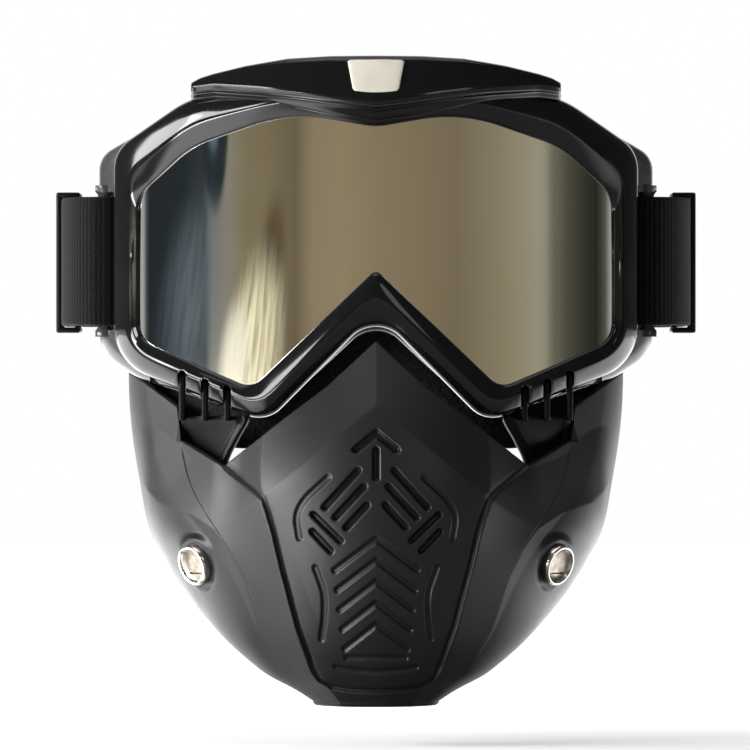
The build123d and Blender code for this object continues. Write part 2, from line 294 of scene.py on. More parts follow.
def makeCamera():
    data = bpy.data.cameras.new("frontCamera")
    data.sensor_width = view["sensor"]
    data.lens = view["sensor"] * view["distance"] / view["widthSeen"]
    data.clip_start, data.clip_end = 0.05, 50
    camera = linked("frontCamera", data)
    camera.location = (view["x"], view["focusY"] - view["distance"], view["z"])
    camera.rotation_euler = (math.radians(90), 0, 0)
    scene.camera = camera


makeCamera()
print("camera set")


def newMaterial(name, colour, roughness, metallic=0.0, specular=0.5, sheen=0.0):
    material = bpy.data.materials.new(name)
    material.use_nodes = True
    shader = material.node_tree.nodes["Principled BSDF"]
    shader.inputs["Base Color"].default_value = (*colour, 1)
    for key, value in (("Roughness", roughness), ("Metallic", metallic), ("Specular IOR Level", specular),
                       ("Sheen Weight", sheen)):
        shader.inputs[key].default_value = value
    return material


def node(holder, kind, inputs=None, **settings):
    # a new node of a material or world; an input is either a value or another node's output
    made = holder.node_tree.nodes.new(kind)
    for key, value in settings.items():
        setattr(made, key, value)
    for key, value in (inputs or {}).items():
        if hasattr(value, "is_output"):
            holder.node_tree.links.new(value, made.inputs[key])
        else:
            made.inputs[key].default_value = value
    return made


def sums(holder, operation, *values, **settings):
    return node(holder, "ShaderNodeMath", dict(enumerate(values)), operation=operation, **settings).outputs[0]


def spread(holder, value, fromRange, toRange, **settings):
    ends = {"Value": value, "From Min": fromRange[0], "From Max": fromRange[1], "To Min": toRange[0],
            "To Max": toRange[1]}
    return node(holder, "ShaderNodeMapRange", ends, **settings).outputs["Result"]


def ramp(holder, value, stops):
    made = node(holder, "ShaderNodeValToRGB", {"Fac": value})
    band = made.color_ramp
    while len(band.elements) < len(stops):
        band.elements.new(0.5)
    for element, (position, colour) in zip(band.elements, stops):
        element.position = position
        element.color = (*colour, 1)
    return made.outputs["Color"]


def join(material, output, key):
    shader = material.node_tree.nodes["Principled BSDF"]
    material.node_tree.links.new(output, shader.inputs[key])


def place(holder, key="Object"):
    return node(holder, "ShaderNodeTexCoord").outputs[key]


def noise(holder, scale, detail=3.0, vector=None):
    inputs = {"Vector": vector or place(holder), "Scale": scale, "Detail": detail}
    return node(holder, "ShaderNodeTexNoise", inputs).outputs["Fac"]


def toned(material, value, *stops):
    join(material, ramp(material, value, stops), "Base Color")


def roughened(material, scale, low, high):
    join(material, spread(material, noise(material, scale, 4.0), (0.3, 0.7), (low, high)), "Roughness")


def bumped(material, height, distance, strength=1.0):
    bump = node(material, "ShaderNodeBump", {"Height": height, "Distance": distance, "Strength": strength})
    join(material, bump.outputs["Normal"], "Normal")


def glossBlack():
    # injection-moulded gloss black with faint handling marks in its shine
    material = newMaterial("glossBlack", (0.006, 0.006, 0.0065), 0.1, specular=0.42)
    roughened(material, 60, 0.06, 0.14)
    bumped(material, noise(material, 90, 2), 0.00002, 0.4)
    return material


def smokeGrey():
    material = newMaterial("smokeGrey", (0.05, 0.05, 0.052), 0.2)
    roughened(material, 80, 0.16, 0.26)
    bumped(material, noise(material, 400, 3), 0.00003, 0.5)
    return material


def mattShell():
    # fine spark-eroded grain, a little polished on the high places
    material = newMaterial("mattShell", (0.01, 0.01, 0.0105), 0.42, specular=0.42)
    toned(material, noise(material, 26, 5), (0.3, (0.008, 0.008, 0.0085)), (0.7, (0.012, 0.012, 0.0125)))
    roughened(material, 45, 0.38, 0.46)
    bumped(material, noise(material, 2600, 2), 0.00003, 0.6)
    return material


def satinBlack():
    material = newMaterial("satinBlack", (0.004, 0.004, 0.0042), 0.35, specular=0.15)
    roughened(material, 90, 0.3, 0.42)
    bumped(material, noise(material, 1500, 2), 0.00002, 0.5)
    return material


def mirrorLens():
    # flash mirror coat, warm where it is thickest
    material = newMaterial("mirrorLens", (0.9, 0.88, 0.82), 0.025, metallic=1.0)
    toned(material, noise(material, 14), (0.35, (0.86, 0.84, 0.77)), (0.65, (0.93, 0.91, 0.86)))
    roughened(material, 40, 0.015, 0.04)
    return material


def innerTint():
    # smoke tint seen from behind the coat
    material = newMaterial("innerTint", (0.05, 0.045, 0.038), 0.06)
    toned(material, noise(material, 14), (0.35, (0.045, 0.04, 0.034)), (0.65, (0.056, 0.05, 0.043)))
    roughened(material, 40, 0.04, 0.08)
    return material


def creamPlate():
    material = newMaterial("creamPlate", (0.72, 0.68, 0.58), 0.3)
    toned(material, noise(material, 120, 4), (0.3, (0.68, 0.64, 0.54)), (0.7, (0.76, 0.72, 0.62)))
    roughened(material, 200, 0.25, 0.38)
    return material


def brightRivet():
    material = newMaterial("brightRivet", (0.78, 0.76, 0.72), 0.16, metallic=1.0)
    roughened(material, 900, 0.1, 0.24)
    return material


def rivetDish():
    # dulled plating with a brown cast in the hollow of the head
    material = newMaterial("rivetDish", (0.34, 0.29, 0.24), 0.34, metallic=0.9)
    toned(material, noise(material, 500, 4), (0.3, (0.24, 0.2, 0.16)), (0.7, (0.44, 0.39, 0.33)))
    roughened(material, 600, 0.28, 0.45)
    return material


def steelWasher():
    material = newMaterial("steelWasher", (0.5, 0.5, 0.5), 0.3, metallic=1.0)
    roughened(material, 700, 0.25, 0.4)
    return material


def openFoam():
    # open cells as pits of uneven size
    material = newMaterial("openFoam", (0.018, 0.018, 0.019), 0.9, specular=0.2)
    pits = node(material, "ShaderNodeTexVoronoi", {"Vector": place(material), "Scale": 900.0})
    cells = pits.outputs["Distance"]
    # the pits are painted darker than the cell walls: painted shade in the cells
    toned(material, cells, (0.0, (0.008, 0.008, 0.008)), (0.6, (0.03, 0.03, 0.032)))
    bumped(material, cells, 0.0004)
    return material


def shortFleece():
    material = newMaterial("shortFleece", (0.022, 0.022, 0.024), 0.95, specular=0.1, sheen=0.6)
    fibres = noise(material, 1400, 6)
    # the colour follows the same fibre noise as the bump, darker where the pile is low: painted shade between
    # the fibres
    toned(material, fibres, (0.3, (0.012, 0.012, 0.013)), (0.7, (0.034, 0.034, 0.037)))
    bumped(material, fibres, 0.0005, 0.9)
    return material


def elasticWebbing():
    # ribs across the band from its rubber threads, with the weave's fine columns between them
    material = newMaterial("elasticWebbing", (0.012, 0.012, 0.013), 0.85, specular=0.12, sheen=0.05)
    band = place(material, "UV")
    ribs = node(material, "ShaderNodeTexWave", {"Vector": band, "Scale": 9.0, "Distortion": 0.3},
                bands_direction="X")
    threads = node(material, "ShaderNodeTexWave", {"Vector": band, "Scale": 24.0, "Distortion": 0.6},
                   bands_direction="Y")
    weave = sums(material, "MULTIPLY", ribs.outputs["Fac"], threads.outputs["Fac"])
    # the colour follows the weave's height, darker in the grooves between ribs and threads: painted shade
    toned(material, weave, (0.0, (0.003, 0.003, 0.0035)), (1.0, (0.014, 0.014, 0.015)))
    bumped(material, weave, 0.0003, 0.9)
    return material


finishes = {
    "gloss": glossBlack(), "grey": smokeGrey(), "shell": mattShell(), "satin": satinBlack(),
    "lens": mirrorLens(), "tint": innerTint(), "cream": creamPlate(), "rivet": brightRivet(),
    "dish": rivetDish(), "washer": steelWasher(), "foam": openFoam(), "fleece": shortFleece(),
    "webbing": elasticWebbing(),
}


def dressed(piece, finish, slotName, body, *replaced):
    piece.data.materials.clear()
    piece.data.materials.append(finishes[finish])
    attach(piece, body)
    if replaced:
        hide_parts(*replaced)
    return piece


def crossed(outer, inner, profile, depthOf, uneven=None):
    # rings of points between two matched loops
    # each profile point is a share of the way, a step in millimetres, and what depthOf asks for
    across = inner - outer
    width = np.linalg.norm(across, axis=1)[:, None]
    along = across / width
    rings = []
    for share, step, *depth in profile:
        offset = width * share + step
        if uneven:
            offset = offset + uneven(share, *depth)
        spot = outer + along * offset
        rings.append(np.stack([spot[:, 0], depthOf(spot[:, 0], *depth), spot[:, 1]], axis=1))
    return np.stack(rings, axis=1)


# crowned bezel: share of the width, step inward, depth behind the front
rim = {
    "profile": [(0, 0, 12), (0, 0, 8), (0, 0, 5.2), (0, 0.15, 4.0), (0, 0.55, 2.9), (0, 1.2, 2.0),
                (0, 2.1, 1.25), (0.3, 0.6, 0.5), (0.42, 0.3, 0.15), (0.5, 0, 0.0), (0.6, 0, 0.12),
                (0.72, 0, 0.5), (1, -2.0, 1.1), (1, -1.2, 1.5), (1, -0.6, 1.9), (1, -0.2, 2.4),
                (1, 0, 2.95), (1, -0.05, 3.0), (1, -2.6, 3.0), (1, -2.6, 4.2), (1, 0, 4.25), (1, 0, 6),
                (1, 0, 9), (1, 0, 12)],
    "slotX": [45.7, 52.6, 59.7], "slotTop": [-42.8, -40.8, -38.3], "slotWidth": 2.5, "slotFoot": -70,
    "cutFrom": -60, "cutTo": 5, "edge": 0.3,
}


def rimDepth(x, depth):
    return goggles["rimFront"] + sag(x, goggles["lensRadius"]) + depth


def slotCutter(x, top):
    # upright slot with a round head, open below, right through the bezel
    half, foot = rim["slotWidth"] / 2, rim["slotFoot"]
    turns = np.linspace(-math.pi / 2, math.pi / 2, 13)[1:-1]
    outline = [(x - half, foot), (x - half, top)]
    outline += [(x + half * math.sin(t), top + half * math.cos(t)) for t in turns]
    outline += [(x + half, top), (x + half, foot)]
    verts = [(px, y, pz) for y in (rim["cutFrom"], rim["cutTo"]) for px, pz in outline]
    n = len(outline)
    faces = [(k, (k + 1) % n, n + (k + 1) % n, n + k) for k in range(n)]
    faces += [tuple(range(n))[::-1], tuple(range(n, 2 * n))]
    return meshPiece("slotCutter", verts, faces, smooth=False)


def makeRim():
    piece = tubePiece("front_rim_bezel", crossed(rimLoop, apertureLoop, rim["profile"], rimDepth))
    slots = zip(rim["slotX"], rim["slotTop"])
    cutBy(piece, [slotCutter(side * x, top) for x, top in slots for side in (-1, 1)])
    bevelled(piece, rim["edge"], 2, 50)
    sharpened(piece, 60)
    dressed(piece, "gloss", "gloss_black", "goggles", "front_rim")


makeRim()
print("rim made")


def makeLens():
    loop = grownLoop(outlineLoop(outlines["aperture"]["corners"]), goggles["lensLip"])
    ahead = np.roll(loop, -1, axis=0)
    edge = loop[:, 0].max() - 0.02
    columns = edge * np.sin(np.linspace(-math.pi / 2, math.pi / 2, 181))
    upper, lower = [], []
    for x in columns:
        crossings = [p[1] + (q[1] - p[1]) * (x - p[0]) / (q[0] - p[0]) for p, q in zip(loop, ahead)
                     if (p[0] - x) * (q[0] - x) <= 0 and p[0] != q[0]]
        upper.append(max(crossings))
        lower.append(min(crossings))
    upper, lower = np.array(upper), np.array(lower)
    y = goggles["lensFront"] + sag(columns, goggles["lensRadius"])
    front, back = [], []
    for t in np.arange(61) / 60:
        z = lower + (upper - lower) * t
        front.append(np.stack([columns, y, z], axis=1))
        back.append(np.stack([columns, y + goggles["lensThick"], z], axis=1))
    # one closed ring of rows, up the front and down the back, whose two open sides are then filled
    rings = front + back[::-1]
    piece = meshPiece("mirror_lens", np.concatenate(rings), gridFaces(len(rings), len(columns), True, False))
    outward(piece, weld=0, fill=True)
    sharpened(piece, 40)
    dressed(piece, "lens", "mirror_lens", "goggles", "lens")
    # the coat is on the outside only, so the inner face shows the dark tint
    piece.data.materials.append(finishes["tint"])
    for face in piece.data.polygons:
        if face.normal.y > 0.1:
            face.material_index = 1


makeLens()
print("lens made")

# raked ridge over the rim, thickest at its middle, stepping down at both ends
brow = {
    "crest": [(0, 44.3), (10, 45.6), (21, 47.2), (36, 49.0), (50, 50.1), (56.5, 49.4)],
    "top": [(0, 59.1), (14, 59.0), (27, 58.3), (40, 56.2), (50, 53.9), (54.0, 52.7), (56.5, 51.4)],
    "rimTop": [(0, 54.0), (20, 52.2), (40, 49.6), (50, 47.6), (57, 45.8), (60, 44.6)],
    "rake": 0.404, "faceY": -46.0, "faceZ": 47.0, "faceSag": 1.0785, "endX": 56.0, "endRound": 0.9,
    "endShrink": 0.3,
}


def tableAt(table, x):
    return np.interp(x, *np.array(table).T)


def browFace(x, z, proud=0.0):
    lean = (z - brow["faceZ"]) * brow["rake"]
    return brow["faceY"] - proud + lean + sag(x, goggles["lensRadius"]) * brow["faceSag"]


def browSection(x, shrink):
    ax = abs(x)
    crest, top, rimTop = [tableAt(brow[key], ax) for key in ("crest", "top", "rimTop")]
    rimY = goggles["rimFront"] + sag(x, goggles["lensRadius"])
    rear = goggles["rimRear"] - 2 + sag(x, goggles["lensRadius"])
    face = browFace(x, crest)
    middle = (crest + top) / 2
    low = crest - 3.4 - 1.6 * softStep(40 - ax, 0, 30)
    points = [(rimY + 4.5, low + 0.6), (rimY + 1.2, low - 0.3), (rimY + 0.1, low + 0.3),
              (rimY * 0.7 + face * 0.3, crest - 1.9), (rimY * 0.25 + face * 0.75, crest - 1.0),
              (face + 0.5, crest - 0.5), (browFace(x, crest + 0.5), crest + 0.5),
              (browFace(x, middle), middle), (browFace(x, top - 1.3), top - 1.3),
              (browFace(x, top) + 0.25, top - 0.45), (browFace(x, top) + 1.3, top),
              (rear - 1.5, top - 0.25), (rear - 0.2, top - 1.0), (rear, top - 2.5),
              (rear, (top - 2.5 + rimTop) / 2), (rear - 0.3, rimTop - 1.5), (rear - 2, rimTop - 2.2)]
    line = smoothLine(points, 5)
    centre = np.array([(rimY + rear) / 2, middle])
    line = centre + (line - centre) * (1 - shrink)
    return np.stack([np.full(len(line), x), line[:, 0], line[:, 1]], axis=1)


def browEnd(side, t):
    # the ends round over, each section a little smaller than the last
    x = side * (brow["endX"] + brow["endRound"] * math.sin(t))
    return browSection(x, brow["endShrink"] * (1 - math.cos(t)))


def makeBrow():
    sections = [browEnd(-1, t) for t in np.linspace(math.pi / 2, 0, 7)[:-1]]
    sections += [browSection(x, 0) for x in np.linspace(-brow["endX"], brow["endX"], 121)]
    sections += [browEnd(1, t) for t in np.linspace(0, math.pi / 2, 7)[1:]]
    piece = loftPiece("brow_ridge", sections)
    sharpened(piece, 55)
    dressed(piece, "gloss", "gloss_black", "goggles", "brow_cowl")


makeBrow()

# plain plate let into the ridge, wider at its top: the layers are an inset and how proud it stands there
badge = {
    "topZ": 57.9, "footZ": 48.3, "footMiddleZ": 47.7, "topHalf": 8.7, "footHalf": 7.0, "corner": 0.5,
    "layers": [(0, -0.6), (0, 0.4), (0.1, 0.6), (0.35, 0.7), (1.2, 0.73), (3.0, 0.76), (4.2, 0.77)],
}


def badgeOutline(inset):
    top, foot = badge["topZ"] - inset, badge["footZ"] + inset
    wide, narrow = badge["topHalf"] - inset * 0.95, badge["footHalf"] - inset * 0.95
    bow = badge["footZ"] - badge["footMiddleZ"]

    def cornerDrop(share):
        return badge["corner"] * max(0, abs(share) - 0.95) / 0.05

    points = [(x, top - 0.12 * (x / wide) ** 2 - cornerDrop(x / wide)) for x in np.linspace(-wide, wide, 25)]
    sides = np.linspace(0, 1, 16)[1:-1]
    points += [(wide + (narrow - wide) * s, top - 0.6 + (foot + 0.7 - top) * s) for s in sides]
    points += [(x, foot - bow * (1 - (x / narrow) ** 2) + cornerDrop(x / narrow))
               for x in np.linspace(narrow, -narrow, 25)]
    points += [(-narrow + (narrow - wide) * s, foot + 0.1 + (top - 0.6 - foot) * s) for s in sides]
    return np.array(points)


def makeBadge():
    rings = []
    for inset, proud in badge["layers"]:
        x, z = badgeOutline(inset).T
        rings.append(np.stack([x, browFace(x, z, proud), z], axis=1))
    piece = loftPiece("cream_plate", rings)
    sharpened(piece, 50)
    dressed(piece, "cream", "cream_badge", "goggles", "brow_badge")


makeBadge()
print("brow made")

# channel behind the rim: share inward, step, share of the depth, step in depth
flange = {
    "profile": [(0, 0, 0.5, 0), (0, 0, 0, 3.6), (0, 0.12, 0, 2.7), (0, 0.5, 0, 1.6), (0, 1.2, 0, 0.75),
                (0, 2.2, 0, 0.2), (0, 3.4, 0, 0.02), (0.5, 0, 0, 0.02), (1, 0, 0, 0.02), (1, 0, 0, 2.0),
                (0.6, 0, 0, 2.0), (0, 3.2, 0, 2.0), (0, 2.5, 0, 2.5), (0, 2.2, 0, 3.4), (0, 2.2, 0.5, 0),
                (0, 2.2, 1, -3.2), (0, 2.5, 1, -2.5), (0, 3.2, 1, -2.0), (0.6, 0, 1, -2.0),
                (1, 0, 1, -2.0), (1, 0, 1, -0.3), (0.5, 0, 1, -0.3), (0, 3.0, 1, -0.3),
                (0, 1.8, 1, -0.45), (0, 0.8, 1, -0.9), (0, 0.2, 1, -1.7), (0, 0, 1, -2.8)],
    "topVents": [-36, -18, 0, 18, 36], "lowerVents": [-66, -52, 52, 66],
    "windowTop": 18.5, "windowFoot": -24.6, "innerWall": 80.8, "wallThick": 1.8, "wallPast": 3,
}
post = {"x": 84.6, "y": 15.6, "radius": 1.9}


def flangeDepth(x, share, step):
    front = goggles["rimRear"] + sag(x, goggles["lensRadius"])
    rear = goggles["flangeRear"] + sag(x, goggles["seatRadius"])
    return front * (1 - share) + rear * share + step


def makeSideWall(side, word):
    # closes the channel behind the strap window, and carries the strap's post
    top, foot = flange["windowTop"], flange["windowFoot"]
    high, low = top + flange["wallPast"], foot - flange["wallPast"]
    x = side * (flange["innerWall"] - flange["wallThick"] / 2)
    front = flangeDepth(abs(x), 0, 0.4)
    rear = flangeDepth(abs(x), 1, -0.6)
    centre = (x, (front + rear) / 2, (high + low) / 2)
    wall = roundedBlock(centre, (flange["wallThick"], rear - front, high - low), 0.4)
    wall.name = "window_wall_" + word
    wall.data.transform(wall.matrix_world)
    wall.matrix_world = Matrix()
    sharpened(wall, 40)
    dressed(wall, "grey", "smoke_grey", "goggles", "face_flange")
    r, height = post["radius"], top - foot
    profile = [(0.1, -2), (r + 0.9, -2), (r + 0.9, -0.1), (r + 0.5, 0.35), (r + 0.12, 0.9), (r, 1.8),
               (r, height - 1.8), (r + 0.12, height - 0.9), (r + 0.5, height - 0.35),
               (r + 0.9, height + 0.1), (r + 0.9, height + 2), (0.1, height + 2)]
    pin = turned("strap_post_" + word, profile)
    pin.data.transform(Matrix.Translation(Vector((side * post["x"], post["y"], foot)) * mm))
    sharpened(pin, 45)
    dressed(pin, "grey", "smoke_grey", "goggles", "face_flange")


def makeFlange():
    rings = crossed(flangeLoop, grownLoop(apertureLoop, 1.5), flange["profile"], flangeDepth)
    piece = tubePiece("side_and_vent_frame", rings)
    top, foot = flange["windowTop"], flange["windowFoot"]
    middle = (goggles["rimRear"] + goggles["flangeRear"]) / 2
    window, beside = (20, 60, top - foot), flange["innerWall"] + 10
    cutters = [roundedBlock((side * beside, 15, (top + foot) / 2), window, 1.6) for side in (-1, 1)]
    for vents, z, size in (("topVents", 52, (11, 5, 20)), ("lowerVents", -45, (8, 5, 16))):
        cutters += [roundedBlock((x, middle + x * x / 200, z), size, 1.2) for x in flange[vents]]
    cutBy(piece, cutters)
    sharpened(piece, 42)
    dressed(piece, "grey", "smoke_grey", "goggles", "face_flange")
    for side, word in ((-1, "left"), (1, "right")):
        makeSideWall(side, word)


makeFlange()
print("side frame made")

# mask sections from the nose down: rear edge x, y; crease x, y; panel edge x, y; middle y
mask = {
    "topZ": -24.0, "chinZ": -139.7, "floorBackY": -28.0, "wall": 2.3, "chinRound": 1.4, "chinShrink": 20,
    "sections": [(76.4, 20, 72.5, 6, 30, -37, -45), (76.8, 25, 71.5, 3, 32.5, -44.5, -53.5),
                 (75.6, 27, 69, -3, 34.2, -50, -60.5), (72.6, 24.5, 62.5, -16, 34.6, -54, -64.8),
                 (67.5, 16, 49, -37, 31, -56.5, -66), (57.5, 2, 39, -44.5, 26.8, -56.5, -64.3),
                 (41.5, -14, 30, -44.5, 21.5, -53.5, -59.5), (17.0, -28, 13.5, -42, 10, -47, -50)],
    "panelShare": 0.35, "creaseShare": 0.6,
    "topEdge": [(0, -28.2), (14.8, -42), (29.5, -53), (46.9, -66.6), (60.5, -58.6), (61.4, -48.5),
                (76, -38.2), (81.8, -36)],
    "notchZ": -55.0, "notchX": [60.2, 61.6],
    "chevron": [(0, -47.7), (34.6, -75.8)], "recede": 0.25,
    "stepLine": [(46.9, -66.4), (36.6, -74.4), (34.9, -76.2), (34.0, -78.6), (31.6, -86), (28.6, -98),
                 (24, -115), (19.5, -127), (17, -131.5), (13.5, -134), (8, -135), (0, -135.2)],
    "panelDepth": 1.3, "grooveDepth": 0.9, "slotDepth": 2.1,
    "creaseLine": [(73.5, -70), (65, -78), (55, -81.5), (48, -86), (43.7, -92), (39.7, -99.7), (34, -116),
                   (27, -128), (20, -134)],
    "creaseHeight": 1.8, "creaseReach": 16.0,
    "rivet": (55.0, -30.8, -96.4), "rivetYaw": 51.0, "rivetPitch": 17.0, "bossThick": 3.4,
    "lip": 0.55, "insideRows": 6, "insideColumns": 5,
}
# each cut is its two ends and its width, and the breathing slots are on both sides
breathSlots = [((-5.5, -67.5), (-15.5, -78.6), 1.9), ((-3.7, -72.4), (-12.3, -81.7), 1.9),
               ((-2.8, -78), (-9, -84.8), 1.9), ((-19, -80.8), (-10.8, -88.8), 1.9),
               ((-19.3, -86), (-13.8, -91.8), 1.9)]
middleCuts = [((0, -61.2), (0, -69.8), 1.9), ((0, -56.2), (-6.2, -61.2), 2.2),
              ((0, -56.2), (6.2, -61.2), 2.2)]
chevrons = {"count": 5, "apexZ": -88.2, "pitch": 6.5, "half": 12.6, "halfLess": 0.75, "drop": 9.6,
            "dropLess": 0.5, "width": 1.7}
sideGrooves = [[(14.6, -69.6), (22.2, -77.2), (24.0, -81.6), (23.3, -88.0)],
               [(18.4, -97.0), (15.9, -104.6), (15.7, -111.2), (16.5, -118.6)]]
chinGrooves = [[(-9, -124.3), (9, -124.3)], [(-12, -127), (-6, -128.2), (0, -128.6), (6, -128.2), (12, -127)]]


def grooveRuns():
    # the points and width of every shallow groove
    runs = []
    for row in range(chevrons["count"]):
        apex = chevrons["apexZ"] - chevrons["pitch"] * row
        half = chevrons["half"] - chevrons["halfLess"] * row
        foot = apex - (chevrons["drop"] - chevrons["dropLess"] * row)
        runs.append(([(-half, foot), (0, apex), (half, foot)], chevrons["width"]))
    runs += [(chinGrooves[0], 1.6), (smoothLine(chinGrooves[1], 5), 1.6)]
    runs += [(smoothLine([(side * x, z) for x, z in line]), 1.8) for side in (-1, 1) for line in sideGrooves]
    return runs


def distanceTo(x, z, path):
    # distance from each point to an open path
    nearby = np.full(x.shape, 1e9)
    for (ax, az), (bx, bz) in zip(path, path[1:]):
        ux, uz = bx - ax, bz - az
        t = np.clip(((x - ax) * ux + (z - az) * uz) / (ux * ux + uz * uz), 0, 1)
        nearby = np.minimum(nearby, np.hypot(x - ax - ux * t, z - az - uz * t))
    return nearby


def insideOf(x, z, corners):
    inside = np.zeros(x.shape, bool)
    for (ax, az), (bx, bz) in zip(corners, corners[1:] + corners[:1]):
        if az != bz:
            inside ^= (z > min(az, bz)) & (z <= max(az, bz)) & (x < ax + (z - az) * (bx - ax) / (bz - az))
    return inside


def arcThrough(a, b, c, shares):
    # points along the circle from a through b to c
    a, b, c = [np.array(p, float) for p in (a, b, c)]
    centre = np.linalg.solve(np.array([b - a, c - a]) * 2, np.array([b @ b - a @ a, c @ c - a @ a]))
    radius = np.linalg.norm(a - centre)
    angle = [math.atan2(p[1] - centre[1], p[0] - centre[0]) for p in (a, b, c)]
    for k in (1, 2):
        while angle[k] - angle[k - 1] > math.pi:
            angle[k] -= 2 * math.pi
        while angle[k] - angle[k - 1] < -math.pi:
            angle[k] += 2 * math.pi
    t = angle[0] + (angle[2] - angle[0]) * np.asarray(shares)
    return centre + radius * np.stack([np.cos(t), np.sin(t)], axis=1)


def maskColumns(section, shares):
    # one section of the half mask at the given shares, 0 at the middle and 1 at the rear edge
    rearX, rearY, creaseX, creaseY, edgeX, edgeY, middleY = section
    first, last = mask["panelShare"], mask["creaseShare"]
    bulge = (rearX * 0.8 + creaseX * 0.2, rearY * 0.4 + creaseY * 0.6)
    points = np.zeros((len(shares), 2))
    panel, rear = shares <= first, shares > last
    across = 0.5 + shares[panel] / (2 * first)
    points[panel] = arcThrough((-edgeX, edgeY), (0, middleY), (edgeX, edgeY), across)
    flat = ~panel & ~rear
    t = (shares[flat] - first) / (last - first)
    points[flat] = np.stack([edgeX + (creaseX - edgeX) * t, edgeY + (creaseY - edgeY) * t], axis=1)
    points[rear] = arcThrough((creaseX, creaseY), bulge, (rearX, rearY), (shares[rear] - last) / (1 - last))
    return points


def naturalSpline(values):
    # second derivatives of a natural spline with unit spacing, for every column at once
    n = len(values)
    matrix = np.zeros((n, n))
    rhs = np.zeros(values.shape)
    matrix[0, 0] = matrix[-1, -1] = 1
    for k in range(1, n - 1):
        matrix[k, k - 1:k + 2] = (1, 4, 1)
        rhs[k] = 6 * (values[k - 1] - 2 * values[k] + values[k + 1])
    return np.linalg.solve(matrix, rhs)


def splineAt(values, bends, t):
    # values and bends are (rows, columns); t is (any, columns) in rows
    k = np.clip(np.floor(t).astype(int), 0, len(values) - 2)
    f = t - k
    column = np.arange(values.shape[1])[None, :].repeat(t.shape[0], axis=0)
    a, b, ma, mb = values[k, column], values[k + 1, column], bends[k, column], bends[k + 1, column]
    return a * (1 - f) + b * f + ((1 - f) ** 3 - (1 - f)) * ma / 6 + (f ** 3 - f) * mb / 6


def maskSurface(shares):
    rows = np.stack([maskColumns(section, shares) for section in mask["sections"]])
    xs, ys = rows[:, :, 0], rows[:, :, 1]
    bendX, bendY = naturalSpline(xs), naturalSpline(ys)
    pitch = (mask["topZ"] - mask["chinZ"]) / (len(xs) - 1)

    def at(z):
        t = np.clip((mask["topZ"] - z) / pitch, 0, len(xs) - 1)
        return splineAt(xs, bendX, t), splineAt(ys, bendY, t)
    return at


def rivetFrame(side):
    yaw, pitch = math.radians(mask["rivetYaw"]), math.radians(mask["rivetPitch"])
    turn = Matrix.Rotation(yaw, 4, "Z") @ Matrix.Rotation(math.radians(90) + pitch, 4, "X")
    placed = Matrix.Translation(Vector(mask["rivet"])) @ turn
    return placed if side > 0 else Matrix.Diagonal((-1, 1, 1, 1)) @ placed


def toRivet(piece, side):
    # a piece made about the upright axis is stood on the cheek's boss
    piece.data.transform(Matrix.Scale(mm, 4) @ rivetFrame(side) @ Matrix.Scale(1 / mm, 4))
    return outward(piece) if side < 0 else piece


def onBoss(points, side, level, inner, outer):
    # points near the rivet are drawn onto the boss's flat face
    placed = rivetFrame(1)
    centre = np.array(placed.translation) * (side, 1, 1)
    axis = np.array(placed.to_3x3() @ Vector((0, 0, 1))) * (side, 1, 1)
    offset = points - centre
    height = offset @ axis
    radial = np.linalg.norm(offset - height[..., None] * axis, axis=-1)
    weight = (1 - softStep(radial, inner, outer)) * (height > -14)
    return points + axis * (weight * (level - height))[..., None]


def cutShare(x, z, cuts, soft):
    # 1 in the middle of each cut and 0 outside it
    share = np.zeros(x.shape)
    for path, width in cuts:
        share = np.maximum(share, 1 - softStep(distanceTo(x, z, path), width / 2 - soft, width / 2 + 0.15))
    return share


def maskField(x, z):
    # how far the skin is let in, and where it is grooved or pierced
    ax = np.abs(x)
    edge = distanceTo(ax, z, mask["stepLine"])
    signed = np.where(insideOf(ax, z, [(0, 0), (mask["stepLine"][0][0], 0)] + mask["stepLine"]), edge, -edge)
    sunk = softStep(signed, -0.25, 0.45) + 0.45 * np.exp(-((signed - 0.75) / 0.5) ** 2)
    cuts = [([(a[0] * side, a[1]), (b[0] * side, b[1])], width)
            for a, b, width in breathSlots for side in (-1, 1)]
    cuts += [([a, b], width) for a, b, width in middleCuts]
    onFront = np.abs(z) < -mask["chinZ"] - 2.5
    return sunk * onFront, cutShare(x, z, grooveRuns(), 0.35) * onFront, cutShare(x, z, cuts, 0.25) * onFront


def maskShares():
    # columns of the half mask, closer together where the top edge steps up beside the clip's notch
    first, last = mask["panelShare"], mask["creaseShare"]
    panel, cheek, rear = ((88, 48, 38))
    shares = np.concatenate([np.linspace(0, first, panel), np.linspace(first, last, cheek)[1:],
                             np.linspace(last, 1.0, rear)[1:]])
    probe = np.linspace(0.4, 0.7, 301)
    x = maskSurface(probe)(np.full((1, 301), mask["notchZ"]))[0]
    low, high = np.interp(mask["notchX"], x[0], probe)
    return np.unique(np.concatenate([shares, np.linspace(low, high, 8)]))


def topLevels(at, count):
    # the height at which each column meets the mask's top edge
    levels = np.linspace(mask["topZ"], mask["chinZ"], 900)
    x = at(levels[:, None].repeat(count, axis=1))[0]
    first = np.argmax(levels[:, None] <= tableAt(mask["topEdge"], np.abs(x)), axis=0)
    top = levels[first]
    edge = tableAt(mask["topEdge"], np.abs(x[first, np.arange(count)]))
    return np.maximum(top, np.where(first > 0, edge, top) - 0.2)


